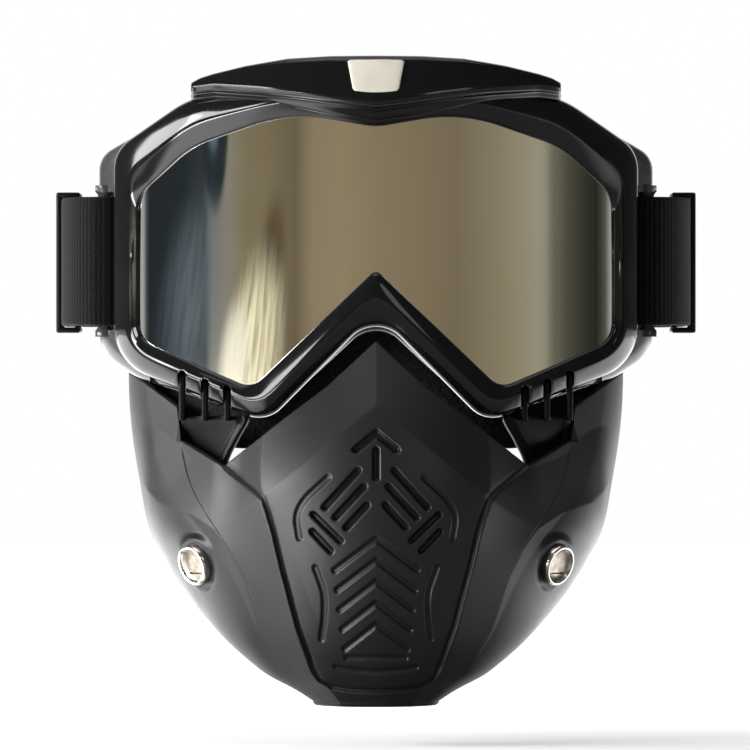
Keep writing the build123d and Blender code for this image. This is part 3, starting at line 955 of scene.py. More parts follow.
def maskGrid(rowCount):
    # the bare skin as a grid of points, from the top edge down, round the chin and back along its floor
    shares = maskShares()
    at = maskSurface(shares)
    top = topLevels(at, len(shares))
    roundBy, floorY = mask["chinRound"], mask["floorBackY"]
    foot = mask["chinZ"] + roundBy
    z = top[None, :] + (foot - top[None, :]) * np.linspace(0, 1, rowCount)[:, None]
    x, y = at(z)
    rows = list(np.stack([x, y, z], axis=2))
    for t in np.linspace(0, math.pi / 2, 6)[1:]:
        under = roundBy * (1 - math.cos(t))
        rows.append(np.stack([x[-1] * (1 - under / mask["chinShrink"]),
                              y[-1] + under * np.clip((floorY - y[-1]) / 4, 0, 1),
                              np.full(len(shares), foot - roundBy * math.sin(t))], axis=1))
    lastX, lastY, lastZ = rows[-1].T
    for t in (0.03, 0.12, 0.3, 0.55, 0.8, 1.0):
        rows.append(np.stack([lastX, lastY + (floorY - lastY) * t, lastZ], axis=1))
    half = np.stack(rows)
    return np.concatenate([half[:, :0:-1] * (-1, 1, 1), half], axis=1)


def gridNormals(grid, rowCount):
    normal = np.cross(np.gradient(grid, axis=1), np.gradient(grid, axis=0))
    normal /= np.maximum(np.linalg.norm(normal, axis=2, keepdims=True), 1e-9)
    floorRows = grid.shape[0] - rowCount - 5
    middle = normal.shape[1] // 2
    normal[-floorRows:] = (0, 0, 1 if normal[-floorRows - 3, middle, 2] > 0 else -1)
    return -normal if (normal[:, middle, 1] > 0).mean() > 0.5 else normal


def makeMask():
    rowCount = 240
    base = maskGrid(rowCount)
    normal = gridNormals(base, rowCount)
    ax, z = np.abs(base[..., 0]), base[..., 2]
    crease = distanceTo(ax, z, mask["creaseLine"])
    rise = mask["creaseHeight"] * np.clip(1 - crease / mask["creaseReach"], 0, 1)
    rise = rise * (1 - softStep(ax, 68, 74)) * (1 - softStep(-z, 128, 136))
    # above the chevron the nose falls away to each side
    start, end = np.array(mask["chevron"], float)
    way = unit(end - start)
    above = (ax - start[0]) * -way[1] + (z - start[1]) * way[0]
    sunk, groove, slot = maskField(base[..., 0], z)
    skin = base + normal * rise[..., None]
    skin[..., 1] += mask["recede"] * np.clip(above, 0, None) * (1 - softStep(ax, 40, 50))
    inside = skin - normal * mask["wall"]
    inside[..., 1] += sunk * mask["panelDepth"]
    skin[..., 1] += sunk * mask["panelDepth"] + groove * mask["grooveDepth"] + slot * mask["slotDepth"]
    for side in (-1, 1):
        skin = onBoss(skin, side, 0.0, 7.6, 9.6)
        inside = onBoss(inside, side, -mask["bossThick"], 7.2, 8.6)
    closeShell(skin, inside, normal)


def lipReach(skin, normal, spot):
    # the way out from the skin at a point of its edge
    i, j = spot
    ni, nj = min(max(i, 1), skin.shape[0] - 2), min(max(j, 1), skin.shape[1] - 2)
    step = skin[i, j] - skin[ni, nj]
    step = step - normal[ni, nj] * (step @ normal[ni, nj])
    length = np.linalg.norm(step)
    return step / length if length > 1e-6 else np.zeros(3)


def closeShell(skin, inside, normal):
    rows, columns = skin.shape[:2]
    # rounded lips: top edge, both rear edges, and the chin floor's back edge
    ring = [(0, j) for j in range(columns)] + [(i, columns - 1) for i in range(1, rows)]
    ring += [(rows - 1, j) for j in range(columns - 2, -1, -1)] + [(i, 0) for i in range(rows - 2, 0, -1)]
    count = len(ring)
    verts = [skin.reshape(-1, 3)]
    faces = gridFaces(rows, columns)
    start = rows * columns
    outerLine = np.array([skin[spot] for spot in ring])
    innerLine = np.array([inside[spot] for spot in ring])
    reach = np.array([lipReach(skin, normal, spot) for spot in ring])
    previous = [i * columns + j for i, j in ring]
    for share in (0.12, 0.35, 0.65, 0.88, 1.0):
        bow = mask["lip"] * math.sqrt(1 - (2 * share - 1) ** 2) if share < 1 else 0
        verts.append(outerLine * (1 - share) + innerLine * share + reach * bow)
        current = list(range(start, start + count))
        start += count
        for k in range(count):
            n = (k + 1) % count
            faces.append((previous[k], previous[n], current[n], current[k]))
        previous = current
    # the inside is coarser, and its outermost faces take in every point of the lip
    index = {spot: previous[k] for k, spot in enumerate(ring)}
    coarseRows = sorted(set(range(0, rows, mask["insideRows"])) | {rows - 1})
    coarseColumns = sorted(set(range(0, columns, mask["insideColumns"])) | {columns - 1, columns // 2})
    extra = [(i, j) for i in coarseRows for j in coarseColumns if (i, j) not in index]
    index.update({spot: start + k for k, spot in enumerate(extra)})
    verts.append(np.array([inside[spot] for spot in extra]))
    for i0, i1 in zip(coarseRows, coarseRows[1:]):
        for j0, j1 in zip(coarseColumns, coarseColumns[1:]):
            loop = [(i0, j) for j in (range(j0, j1) if i0 == 0 else [j0])]
            loop += [(i, j1) for i in (range(i0, i1) if j1 == columns - 1 else [i0])]
            loop += [(i1, j) for j in (range(j1, j0, -1) if i1 == rows - 1 else [j1])]
            loop += [(i, j0) for i in (range(i1, i0, -1) if j0 == 0 else [i1])]
            faces.append(tuple(index[spot] for spot in reversed(loop)))
    piece = outward(meshPiece("mask_skin", np.concatenate(verts), faces))
    dressed(piece, "shell", "matt_black", "mask", "mask_shell")


makeMask()
print("mask made")

# one band: round each post, out and back along the head, with its free tail doubled inside
strap = {
    "turn": 2.8, "outerX": 98.0, "innerX": 96.3, "straightFrom": 44.0, "straightTo": 94.0, "tailEnd": 92.0,
    "middleZ": -3.05, "width": 40.0, "thick": 1.5, "stations": 640, "ripple": 0.04, "droop": 0.125,
    "section": [(-1, 0.0), (-0.992, 0.55), (-0.975, 0.9), (-0.93, 1.0), (-0.905, 0.9), (-0.88, 1.0)],
}


def strapPath():
    # the right side from its tail end, round the post, to the back of the head; then the left side
    x, y, turn = post["x"], post["y"], strap["turn"]
    inner, outer, back = strap["innerX"], strap["outerX"], strap["straightTo"]
    path = [(inner, away) for away in np.linspace(strap["tailEnd"], strap["straightFrom"], 25)]
    toPost = [(inner, 52), (inner, 44), (92.0, 34.0), (86.5, 27.0), (83.2, 20.5), (x - turn, y + 0.4)]
    path += list(smoothLine(toPost, 8)[9:])
    path += [(x - turn * math.cos(t), y - turn * math.sin(t)) for t in np.linspace(0.1, 1.75, 9)]
    fromPost = [(x + turn * 0.2, y - turn), (x + 3.4, y - turn + 0.1), (92.8, 17.3), (96.3, 26.0),
                (97.9, 38.0), (outer, 48)]
    path += list(smoothLine(fromPost, 8))
    path += [(outer, away) for away in np.linspace(50, back, 22)]
    loop = [(outer * math.cos(t), back + outer * math.sin(t)) for t in np.linspace(0, math.pi, 97)[1:-1]]
    path = np.array(path + loop + [(-px, py) for px, py in path[::-1]])
    kept = [path[0]]
    for spot in path[1:]:
        if np.linalg.norm(spot - kept[-1]) > 0.25:
            kept.append(spot)
    return np.array(kept)


def bandSection():
    # across the band: rounded selvedges, a hem at each edge and a flat middle
    edge = strap["section"]
    across = edge + [(s, 1.0) for s in np.linspace(-0.8, 0.8, 15)] + [(-s, t) for s, t in edge[::-1]]
    return across + [(s, -t) for s, t in across[-2:0:-1]]


def makeStrap():
    path = strapPath()
    run = runLength(path)
    stations = np.linspace(0, run[-1], strap["stations"])
    line = sampled(path, run, stations)
    tangent = rowUnits(np.stack([np.gradient(line[:, 0]), np.gradient(line[:, 1])], axis=1))
    across = bandSection()
    loose = softStep(line[:, 1], 20, 60)
    verts, uvs = [], []
    for k, station in enumerate(stations):
        out = np.array((tangent[k, 1], -tangent[k, 0]))
        droop = strap["droop"] * math.sin(station * 0.021) * loose[k]
        for s, t in across:
            ripple = strap["ripple"] * math.sin(station * 0.35 + s * 2.0) * loose[k]
            x, y = line[k] + out * (strap["thick"] / 2 * t + ripple)
            verts.append((x, y, strap["middleZ"] + s * strap["width"] / 2 + droop))
            uvs.append((station / strap["width"], s * 0.5 + 0.5))
    count = len(across)
    faces = gridFaces(len(stations), count, False, True)
    faces += [tuple(range(count))[::-1], tuple(range((len(stations) - 1) * count, len(stations) * count))]
    piece = meshPiece("elastic_strap", verts, faces)
    layer = piece.data.uv_layers.new(name="band")
    for loop in piece.data.loops:
        layer.data[loop.index].uv = uvs[loop.vertex_index]
    outward(piece, weld=0)
    sharpened(piece, 50)
    dressed(piece, "webbing", "webbing_black", "goggles", "strap")


makeStrap()
print("strap made")

# three-bar adjusters: two rails, two bars outside the band and one inside
glide = {"length": 24.0, "bar": 4.0, "barThick": 2.0, "rail": 1.8, "gap": 0.2, "past": 0.4, "round": 0.7}


def makeGlide(side, word):
    outer = strap["outerX"] + strap["thick"] / 2
    inner = strap["innerX"] - strap["thick"] / 2
    y, z = (strap["straightFrom"] + strap["straightTo"]) / 2, strap["middleZ"]
    thick, rail = glide["barThick"], glide["rail"]
    lift = strap["width"] / 2 + rail / 2 + glide["past"]
    bar = (thick, glide["bar"], strap["width"] + 1.4 + rail)
    deep = outer - inner + (thick + glide["gap"]) * 2
    outside, within = outer + glide["gap"] + thick / 2, inner - glide["gap"] - thick / 2
    middle, long = side * (inner + outer) / 2, (deep, glide["length"], rail)
    blocks = [((middle, y, z + up * lift), long) for up in (-1, 1)]
    blocks += [((side * outside, y + end * (glide["length"] - glide["bar"]) / 2, z), bar) for end in (-1, 1)]
    blocks.append(((side * within, y, z), bar))
    parts = [roundedBlock(spot, size, glide["round"]) for spot, size in blocks]
    made = joined("three_bar_glide_" + word, parts)
    made.data.shade_smooth()
    sharpened(made, 40)
    dressed(made, "satin", "satin_black", "glide_" + word, "strap_glide_" + word)


for turnSide, turnWord in ((-1, "left"), (1, "right")):
    makeGlide(turnSide, turnWord)
print("glides made")

# clip: an eye under the rivet, a broad twisted arm through the notch, and three claws in the rim
# an arm row is x, y, z, yaw and width; the ledges of its section are shares of its half width and thickness
clip = {
    "eyeRadius": 6.9, "eyeBore": 3.3, "thick": 2.4,
    "arm": [(54.0, -31.6, -99.5, 51, 8.5), (52.6, -29.9, -97.5, 51, 10.5), (51.6, -28.1, -95, 51, 11.2),
            (51.6, -24.3, -88, 51, 13.2), (51.8, -20.2, -80, 51, 16), (52.2, -17.0, -73, 51, 18),
            (52.4, -14.9, -66, 50, 19.6), (51.2, -16.4, -59, 42, 22.3), (49.4, -19.0, -52, 31, 24),
            (49.4, -19.0, -51.2, 31, 23.4)],
    "ledge": [(-1, -0.4), (-0.985, -0.75), (-0.95, -0.95), (-0.9, -1.0), (-0.8, -0.98), (-0.74, -0.72),
              (-0.66, -0.64)],
    "back": [(1, 0.5), (0.97, 0.9), (0.9, 1.0), (0, 1.0), (-0.9, 1.0), (-0.97, 0.9), (-1, 0.5)],
    "clawWide": 1.9, "clawDeep": 6.5, "clawFoot": -52.6, "clawBehind": 6, "clawRound": 0.55,
}


def armLoop(x, y, z, yaw, width):
    t = math.radians(yaw)
    way = np.array((math.cos(t), math.sin(t)))
    off = np.array((-math.sin(t), math.cos(t)))
    shape = clip["ledge"] + [(-s, d) for s, d in clip["ledge"][::-1]] + clip["back"]
    spots = [np.array((x, y)) + way * (width / 2) * s + off * (clip["thick"] / 2) * d for s, d in shape]
    return [(spot[0], spot[1], z) for spot in spots]


def makeClaw(x, top):
    y = rimDepth(x, clip["clawBehind"])
    head, foot = top + 0.1, clip["clawFoot"]
    size = (clip["clawWide"], clip["clawDeep"], head - foot)
    return roundedBlock((x, y, (head + foot) / 2), size, clip["clawRound"])


def makeClip(side, word):
    arm = loftPiece("arm", [armLoop(*row) for row in smoothLine(clip["arm"], 5)])
    r, bore, front = clip["eyeRadius"], clip["eyeBore"], -mask["bossThick"]
    rear = front - clip["thick"]
    profile = [(bore, front), (r - 0.4, front), (r - 0.1, front - 0.15), (r, front - 0.45), (r, rear + 0.45),
               (r - 0.1, rear + 0.15), (r - 0.4, rear), (bore, rear)]
    eye = toRivet(turned("eye", profile, 48, True), 1)
    claws = [makeClaw(x, top) for x, top in zip(rim["slotX"], rim["slotTop"])]
    made = joined("three_claw_clip_" + word, [arm, eye, *claws])
    if side < 0:
        made.data.transform(Matrix.Diagonal((-1, 1, 1, 1)))
    outward(made, weld=0)
    made.data.shade_smooth()
    sharpened(made, 40)
    dressed(made, "satin", "satin_black", "mask", "mask_clip_" + word)


# cheek rivet: rolled bright rim round a dished head with a dull centre, and a washer inside
rivet = {
    "dish": [(0.05, 0.75), (1.2, 0.72), (2.6, 0.8), (3.8, 1.05), (4.7, 1.5), (5.1, 1.85)],
    "roll": [(5.1, 1.85), (5.3, 2.2), (5.65, 2.42), (6.0, 2.35), (6.3, 2.0), (6.47, 1.5), (6.5, 0.9),
             (6.5, 0.25), (6.35, 0.02)],
    "barrel": [(3.2, 0.0), (3.2, -1.0)],
    "tail": [(3.2, 0), (3.6, -0.1), (4.5, -0.15), (4.6, -0.4), (4.3, -0.75), (3.4, -0.85), (2.6, -0.5),
             (0.05, -0.3)],
    "dullRadius": 4.85,
    "washer": [(3.25, 0), (5.2, 0), (5.42, -0.08), (5.5, -0.25), (5.5, -0.55), (5.42, -0.72), (5.2, -0.8),
               (3.25, -0.8)],
    "washerThick": 0.8,
}


def makeRivet(side, word):
    stack = mask["bossThick"] + clip["thick"] + rivet["washerThick"]
    profile = [*smoothLine(rivet["dish"], 3)[:-1], *smoothLine(rivet["roll"], 3), *rivet["barrel"]]
    profile += [(radius, height - stack) for radius, height in rivet["tail"]]
    head = toRivet(turned("cheek_rivet_head_" + word, profile, 64), side)
    sharpened(head, 42)
    dressed(head, "rivet", "bright_rivet", "mask", "cheek_rivet_" + word)
    head.data.materials.append(finishes["dish"])
    back = rivetFrame(side).inverted()
    for face in head.data.polygons:
        spot = back @ (face.center / mm)
        if math.hypot(spot.x, spot.y) < rivet["dullRadius"] and spot.z > -0.5:
            face.material_index = 1


def makeWasher(side, word):
    level = -mask["bossThick"] - clip["thick"]
    profile = [(radius, level + height) for radius, height in rivet["washer"]]
    ring = toRivet(turned("rivet_washer_ring_" + word, profile, 56, True), side)
    sharpened(ring, 42)
    dressed(ring, "washer", "steel_washer", "mask", "rivet_washer_" + word)


for turnSide, turnWord in ((-1, "left"), (1, "right")):
    makeRivet(turnSide, turnWord)
    makeWasher(turnSide, turnWord)
print("rivets made")
for turnSide, turnWord in ((-1, "left"), (1, "right")):
    makeClip(turnSide, turnWord)
print("clips made")

# face foam and its fleece: crowned rings behind the flange, softly uneven
# each profile point is a share inward, a step, a share of the depth and a step in depth
cushion = {
    "outerIn": 1.2, "openingOut": 1.8, "wave": 0.25, "waveLength": 9.0,
    "foam": [(0, 0.5, 0, 0.25), (0, 0.1, 0.05, 0.2), (0, -0.15, 0.25, 0), (0, -0.35, 0.5, 0),
             (0, -0.25, 0.75, 0), (0, 0.05, 0.95, -0.1), (0, 0.5, 1, -0.2), (0.25, 0, 1, -0.22),
             (0.5, 0, 1, -0.22), (0.75, 0, 1, -0.22), (1, -0.6, 1, -0.2), (1, -0.1, 0.94, 0),
             (1, 0.2, 0.75, 0), (1, 0.35, 0.5, 0), (1, 0.2, 0.25, 0), (1, -0.1, 0.06, 0),
             (1, -0.6, 0, 0.25), (0.6, 0, 0, 0.25), (0.3, 0, 0, 0.25)],
    "fleece": [(0, 0.6, 0, 0.22), (0, 0.15, 0.1, 0.1), (0, 0.0, 0.35, 0), (0, 0.25, 0.62, 0),
               (0, 1.1, 0.86, 0), (0, 2.4, 0.97, 0.36), (0.3, 0, 1, 0.72), (0.5, 0, 1, 0.9),
               (0.7, 0, 1, 0.72), (1, -2.2, 0.97, 0.36), (1, -1.0, 0.86, 0), (1, -0.2, 0.62, 0),
               (1, 0.05, 0.35, 0), (1, -0.1, 0.1, 0.1), (1, -0.6, 0, 0.22), (0.5, 0, 0, 0.22)],
}


def softRing(name, frontY, rearY, profile, wave):
    inner = grownLoop(apertureLoop, cushion["openingOut"])
    outer = grownLoop(flangeLoop, -cushion["outerIn"])
    length = runLength(outer)

    def depthOf(x, share, step):
        return frontY * (1 - share) + rearY * share + step + sag(x, goggles["seatRadius"])

    def uneven(share, *depth):
        lumps = wave * np.sin(length / cushion["waveLength"] + share * 3)[:, None]
        return lumps * (1 if 0 < depth[0] < 1 else 0.4)

    return tubePiece(name, crossed(outer, inner, profile, depthOf, uneven))


def makeFoam():
    piece = softRing("face_cushion", goggles["flangeRear"], goggles["foamRear"], cushion["foam"],
                     cushion["wave"])
    dressed(piece, "foam", "foam_black", "goggles", "face_foam")


def makeFleece():
    piece = softRing("fleece_face", goggles["foamRear"], goggles["fleeceRear"], cushion["fleece"],
                     cushion["wave"] * 0.7)
    dressed(piece, "fleece", "fleece_black", "goggles", "fleece_lining")


makeFoam()
makeFleece()

# thin flap of the face foam, hanging behind the mask's top edge; its hem points are a step and a depth
flap = {
    "corners": [(0, 40, 5), (83.3, 20, 5), (83.3, -31, 8), (73.5, -38.6, 4), (70.5, -50, 8), (58, -60, 8),
                (38, -61.5, 10), (0, -32, 10)],
    "upper": [(80, -28), (71, -37), (36, -47), (0, -26)],
    "lower": [(83.3, -24), (71.5, -47), (40, -60.8), (0, -34.6)],
    "steps": [14, 34, 44], "thick": 2.4, "behind": 0.13, "wave": 0.12,
    "hem": [(-0.9, 0.03), (-0.35, 0.14), (-0.08, 0.32), (0, 0.5), (-0.08, 0.68), (-0.35, 0.86),
            (-0.9, 0.97)],
}


def runAlong(loop, marks):
    # half the loop, resampled between the points that lie nearest to the marks, and its mirror image
    length = runLength(loop)
    stops = [length[nearest(loop, mark)] for mark in marks]
    runs = [np.linspace(a, b, n + 1)[:-1] for a, b, n in zip(stops, stops[1:], flap["steps"])]
    half = sampled(loop, length, np.concatenate(runs + [stops[-1:]]))
    return np.concatenate([half, half[-2::-1] * (-1, 1)])


def makeFlap():
    upper = runAlong(grownLoop(flangeLoop, -4.5), flap["upper"])
    lower = runAlong(outlineLoop(flap["corners"]), flap["lower"])
    across = lower - upper
    way = rowUnits(across)
    profile = [(share, 0, 0) for share in np.linspace(0, 0.9, 7)] + [(1, *spot) for spot in flap["hem"]]
    profile += [(share, 0, 1) for share in np.linspace(0.9, 0, 7)]
    station = np.arange(len(upper))
    rings = []
    for share, step, depth in profile:
        spot = upper + across * share + way * step
        ripple = flap["wave"] * np.sin(station * 0.31 + share * 2) * share
        y = goggles["flangeRear"] + flap["thick"] * depth + ripple + flap["behind"]
        rings.append(np.stack([spot[:, 0], y + sag(spot[:, 0], goggles["seatRadius"]), spot[:, 1]], axis=1))
    piece = loftPiece("foam_flap", np.stack(rings, axis=1))
    dressed(piece, "foam", "foam_black", "goggles", "face_foam")


makeFlap()

# thin filter foam lying inside the channel behind the vents
# each strip is its node, its piece, where it starts and ends, and 1 above or -1 below
ventStrips = [("top_vent_foam", "vent_foam_top", -44, 44, 1),
              ("lower_vent_foam", "vent_foam_lower_left", -70, -46, -1),
              ("lower_vent_foam", "vent_foam_lower_right", 46, 70, -1)]
ventFoam = {
    "wallIn": 2.45, "thick": 2.0, "clear": 2.2,
    "section": [(0.1, 0.03), (0.0, 0.12), (-0.02, 0.5), (0.0, 0.88), (0.1, 0.97), (0.5, 0.99),
                (0.9, 0.97), (1.0, 0.88), (1.04, 0.5), (1.0, 0.12), (0.9, 0.03), (0.5, 0.01)],
}


def makeVentStrip(nodeName, name, low, high, up):
    outer = grownLoop(flangeLoop, -ventFoam["wallIn"])
    # one unbroken run of stations along the wall
    line = np.array(sorted([tuple(spot) for spot in outer if low <= spot[0] <= high and spot[1] * up > 0]))
    t = rowUnits(np.gradient(line, axis=0)) * up
    sections = []
    for k, at in enumerate(line):
        squeeze = min(1.0, 0.55 + 0.45 * min(k, len(line) - 1 - k) / 2)
        loop = []
        for share, depth in ventFoam["section"]:
            inwards = ventFoam["thick"] * (0.5 + (share - 0.5) * squeeze)
            x, z = at + np.array((t[k, 1], -t[k, 0])) * inwards
            front, rear = flangeDepth(x, 0, ventFoam["clear"]), flangeDepth(x, 1, -ventFoam["clear"])
            loop.append((x, front * (1 - depth) + rear * depth, z))
        sections.append(loop)
    piece = loftPiece(name, sections)
    dressed(piece, "foam", "foam_black", "goggles", nodeName)


for strip in ventStrips:
    makeVentStrip(*strip)

# pad behind the mask's slots, drawn from the panel's own curve
filterPad = {"share": 0.29, "top": (-53.5, -78.0), "foot": -94.5, "behind": 5.1, "plump": 1.2}


def makeFilter():
    half = np.linspace(0, filterPad["share"], 26)
    top = np.interp(half, [0, filterPad["share"]], filterPad["top"])
    z = top[None, :] + (filterPad["foot"] - top[None, :]) * np.linspace(0, 1, 40)[:, None]
    x, y = maskSurface(half)(z)
    front = np.stack([x, y, z], axis=2)
    front = np.concatenate([front[:, :0:-1] * (-1, 1, 1), front], axis=1)
    rows, columns = front.shape[:2]
    i, j = np.meshgrid(np.arange(rows), np.arange(columns), indexing="ij")
    edge = np.minimum(np.minimum(i, rows - 1 - i) / 4.0, np.minimum(j, columns - 1 - j) / 4.0)
    verts = []
    for way in (-1, 1):
        sheet = front.copy()
        sheet[..., 1] += filterPad["behind"] + way * filterPad["plump"] * np.sqrt(np.clip(edge, 0, 1))
        verts.append(sheet.reshape(-1, 3))
    near = gridFaces(rows, columns)
    far = [tuple(v + rows * columns for v in face[::-1]) for face in near]
    piece = outward(meshPiece("filter_foam_pad", np.concatenate(verts), near + far))
    dressed(piece, "foam", "foam_black", "mask", "mask_filter_foam")


makeFilter()
print("soft pieces made")

# pale floor under the mask, a white surround, and soft lamps at upper left
studio = {"floorZ": -0.152, "floorSize": 7.0, "surround": 0.15, "floorGlow": 0.45, "glowFrom": 0.3,
          "glowTo": 1.3}


def card(name, verts, faces, material, mirroredOnly=True):
    mesh = bpy.data.meshes.new(name)
    mesh.from_pydata(verts, [], faces)
    mesh.update()
    mesh.materials.append(material)
    piece = linked(name, mesh)
    if mirroredOnly:
        piece.visible_camera = False
        piece.visible_diffuse = False
        piece.visible_shadow = False
        piece.visible_transmission = False


def flatCard(name, x, y, z, material, mirroredOnly=True):
    corners = [(x[0], y[0], z), (x[1], y[0], z), (x[1], y[1], z), (x[0], y[1], z)]
    card(name, corners, [(0, 1, 2, 3)], material, mirroredOnly)


def curvedCard(name, radius, low, high, reach, material):
    # part of an upright cylinder round the set, as many degrees to each side of the front
    turns = np.radians(np.linspace(-reach, reach, 49))
    verts = [(radius * math.sin(t), -radius * math.cos(t), z) for t in turns for z in (low, high)]
    card(name, verts, [(2 * k, 2 * k + 2, 2 * k + 3, 2 * k + 1) for k in range(48)], material)


def looked(holder):
    # 1 for the rays that see a surface straight, in a mirror or through something clear
    path = node(holder, "ShaderNodeLightPath").outputs
    seen = sums(holder, "ADD", path["Is Camera Ray"], path["Is Glossy Ray"])
    return sums(holder, "ADD", seen, path["Is Transmission Ray"], use_clamp=True)


def distanceOut(holder):
    return node(holder, "ShaderNodeVectorMath", {0: place(holder)}, operation="LENGTH").outputs["Value"]


def makeFloor():
    material = newMaterial("paleFloor", (0.86, 0.86, 0.86), 0.9, specular=0.1)
    bumped(material, noise(material, 300, 2), 0.00005, 0.3)
    # lifted towards white where it is looked at, more so far away, so that its shadow stays
    glow = spread(material, distanceOut(material), (studio["glowFrom"], studio["glowTo"]),
                  (studio["floorGlow"], 1.0), interpolation_type="SMOOTHSTEP")
    material.node_tree.nodes["Principled BSDF"].inputs["Emission Color"].default_value = (1, 1, 1, 1)
    join(material, sums(material, "MULTIPLY", looked(material), glow), "Emission Strength")
    ends = (-studio["floorSize"] / 2, studio["floorSize"] / 2)
    flatCard("floor", ends, ends, studio["floorZ"], material, False)


def makeWorld():
    world = bpy.data.worlds.new("surround")
    scene.world = world
    world.use_nodes = True
    world.node_tree.nodes.clear()
    dim, white = [node(world, "ShaderNodeBackground", {"Color": (1, 1, 1, 1), "Strength": strength})
                  for strength in (studio["surround"], 1.0)]
    mix = node(world, "ShaderNodeMixShader", {"Fac": looked(world), 1: dim.outputs[0], 2: white.outputs[0]})
    node(world, "ShaderNodeOutputWorld", {"Surface": mix.outputs[0]})


def areaLamp(name, location, target, size, power):
    data = bpy.data.lights.new(name, "AREA")
    data.shape = "RECTANGLE"
    data.size, data.size_y = size
    data.energy = power
    lamp = linked(name, data)
    lamp.location = location
    lamp.rotation_euler = (Vector(target) - Vector(location)).to_track_quat("-Z", "Y").to_euler()


def patched(holder, under, bearing, height, at, size, colour, lean=0.0, soft=0.5, streak=0.0, strength=1.0):
    # a soft leaning patch of another colour, broken into streaks along its own length; on the lens strip each
    # patch is a painted reflection
    across = sums(holder, "SUBTRACT", bearing, math.radians(at[0]))
    across = sums(holder, "DIVIDE", across, math.radians(size[0]))
    up = sums(holder, "DIVIDE", sums(holder, "SUBTRACT", height, at[1]), size[1])
    across = sums(holder, "SUBTRACT", across, sums(holder, "MULTIPLY", up, lean))
    squares = [sums(holder, "MULTIPLY", value, value) for value in (across, up)]
    reach = sums(holder, "SQRT", sums(holder, "ADD", *squares))
    share = spread(holder, reach, (1 + soft, 1 - soft), (0, 1), interpolation_type="SMOOTHSTEP")
    if streak:
        drawn = {0: sums(holder, "MULTIPLY", across, 5.0), 1: sums(holder, "MULTIPLY", up, 0.7)}
        grain = noise(holder, 1.4, 5.0, node(holder, "ShaderNodeCombineXYZ", drawn).outputs[0])
        share = sums(holder, "MULTIPLY", share, spread(holder, grain, (0.38, 0.56), (1 - streak, 1)))
    mix = {0: sums(holder, "MULTIPLY", share, strength), 6: under, 7: (*colour, 1)}
    return node(holder, "ShaderNodeMix", mix, data_type="RGBA").outputs[2]


def rampedGlow(name, stops, strength, patches=(), clear=None):
    # glow that changes with the bearing of each point from the middle of the set
    material = bpy.data.materials.new(name)
    material.use_nodes = True
    material.node_tree.nodes.clear()
    x, y, z = node(material, "ShaderNodeSeparateXYZ", {0: place(material)}).outputs
    bearing = sums(material, "ARCTAN2", x, sums(material, "MULTIPLY", y, -1.0))
    shown = ramp(material, spread(material, bearing, (-math.pi, math.pi), (0, 1)),
                 [((degrees + 180) / 360, colour) for degrees, colour in stops])
    for patch in patches:
        shown = patched(material, shown, bearing, z, **patch)
    if clear:
        # dark near the middle of the set, at full strength beyond the second distance
        strength = spread(material, distanceOut(material), clear, (0.05 * strength, strength))
    glow = node(material, "ShaderNodeEmission", {"Color": shown, "Strength": strength}).outputs["Emission"]
    node(material, "ShaderNodeOutputMaterial", {"Surface": glow})
    return material


def grey(*stops):
    return [(degrees, (level, level, level)) for degrees, level in stops]
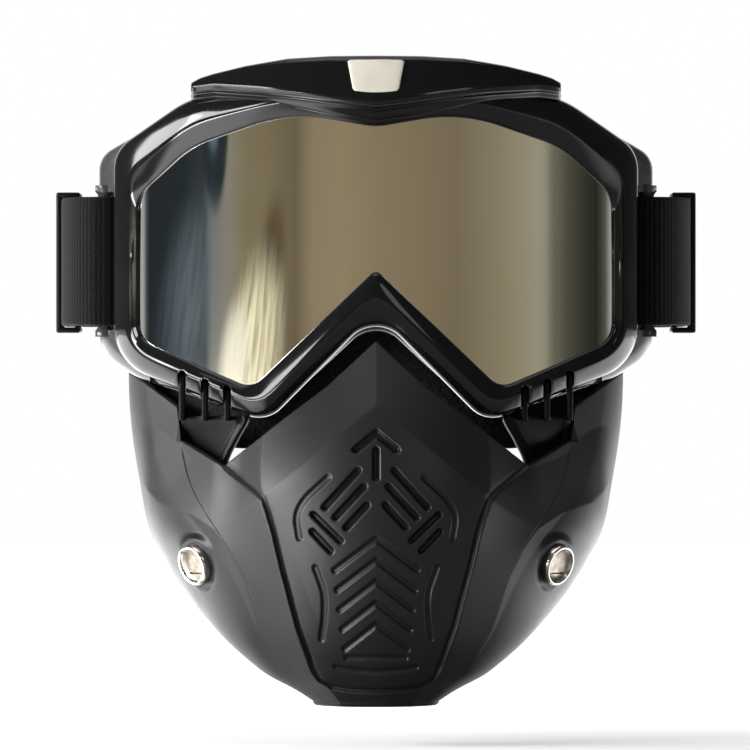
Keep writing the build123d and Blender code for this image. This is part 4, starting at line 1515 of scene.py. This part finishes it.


# what the polished pieces mirror, all glowing cards seen only in reflections: a dim room in front, a bright
# card under the set that paints highlights on downward-facing surfaces, and a strip at lens height painted
# with the lens's reflections
# stops are a bearing in degrees and a colour; a patch is at a bearing and height, and as large in both
room = {
    "wall": grey((-135, 0.10), (-60, 0.10), (0, 0.08), (135, 0.08)),
    # painted highlights: the under card glows brightest to the left, behind and at front left, dark in front,
    # and shows only on downward-facing bevels and faces
    "underHighlight": grey((-180, 1), (-94, 1), (-85, 0.5), (-78, 0.06), (-71, 0.1), (-64, 1), (-40, 0.85),
                   (-28, 0.06), (65, 0.08), (82, 0.4), (94, 0.8), (180, 0.8)),
    # the strip's colours are a painted reflection for the lens: pale edges, dark bands and beige and brown
    # tones
    "strip": [(-91, (0.5, 0.5, 0.5)), (-88.0, (0.32, 0.33, 0.34)), (-87.0, (0.02, 0.025, 0.03)),
              (-70, (0.018, 0.026, 0.034)), (-62, (0.03, 0.036, 0.042)), (-59, (0.22, 0.23, 0.22)),
              (-53, (0.25, 0.24, 0.2)), (-46, (0.21, 0.18, 0.11)), (-38, (0.2, 0.165, 0.10)),
              (-28, (0.155, 0.125, 0.08)), (-22, (0.27, 0.22, 0.145)), (-12, (0.29, 0.235, 0.15)),
              (0, (0.24, 0.2, 0.125)), (28, (0.19, 0.155, 0.1)), (44, (0.25, 0.225, 0.15)),
              (50, (0.29, 0.26, 0.175)), (58, (0.32, 0.3, 0.23)), (61, (0.3, 0.28, 0.22)),
              (64, (0.15, 0.15, 0.11)), (70, (0.075, 0.075, 0.06)), (78, (0.035, 0.035, 0.026)),
              (83, (0.022, 0.022, 0.017)), (87, (0.08, 0.08, 0.075)), (89, (0.28, 0.28, 0.27)),
              (91, (0.5, 0.5, 0.5))],
    # painted reflections in the lens: a dark band with a thin blue line, a streaked blue haze, a brown smear
    # and bright warm streaks
    "patches": [
        {"at": (-58, 0.135), "size": (5.5, 0.068), "colour": (0.018, 0.026, 0.034), "soft": 0.12},
        {"at": (-58.5, 0.123), "size": (2.2, 0.016), "colour": (0.12, 0.19, 0.26), "soft": 0.3},
        {"at": (-68, 0.012), "size": (9, 0.05), "colour": (0.13, 0.17, 0.2), "lean": 0.5, "soft": 0.8,
         "streak": 0.5, "strength": 0.85},
        {"at": (-36, 0.04), "size": (3.6, 0.03), "colour": (0.085, 0.06, 0.035), "lean": 0.3, "soft": 0.6,
         "streak": 0.3},
        {"at": (-44, -0.03), "size": (8.5, 0.055), "colour": (1.0, 0.93, 0.66), "lean": 0.45, "soft": 0.55,
         "streak": 0.75},
        {"at": (-51, -0.035), "size": (4.5, 0.035), "colour": (1.0, 0.96, 0.8), "lean": 0.4, "soft": 0.6,
         "streak": 0.2},
    ],
}
# each lamp's place, what it points at, its size in metres and its power
lamps = {
    "keyLamp": ((-1.5, -0.85, 0.46), (0, -0.03, -0.03), (1.1, 0.42), 24),
    "sideLamp": ((-1.45, -0.1, 0.34), (0, -0.02, -0.07), (0.8, 0.36), 13),
    "lowLamp": ((-1.25, -1.0, -0.098), (0, -0.03, -0.06), (1.1, 0.08), 10),
    "topLamp": ((-0.3, -0.5, 1.9), (0, -0.03, -0.03), (1.0, 1.0), 3),
    "fillLamp": ((0.9, -1.5, 0.8), (0, -0.03, -0.03), (0.5, 0.5), 1.5),
}

makeFloor()
makeWorld()
curvedCard("roomWall", 3.6, -0.5, 7.5, 150, rampedGlow("roomWallGlow", room["wall"], 1.0))
# a glowing card just above the floor, seen only in reflections, that paints highlights on downward-facing
# surfaces
flatCard("underHighlightCard", (-1.6, 1.3), (-2.2, 1.2), -0.1512,
         rampedGlow("underHighlightGlow", room["underHighlight"], 4.5, clear=(0.14, 0.24)))
# a glowing strip at lens height, seen only in reflections: it paints the lens's reflection
curvedCard("lensStrip", 3.3, -0.35, 0.16, 91,
           rampedGlow("lensStripGlow", room["strip"], 1.0, room["patches"]))
for lampName, settings in lamps.items():
    areaLamp(lampName, *settings)
print("stage and light set")

scene.view_settings.view_transform = "Standard"
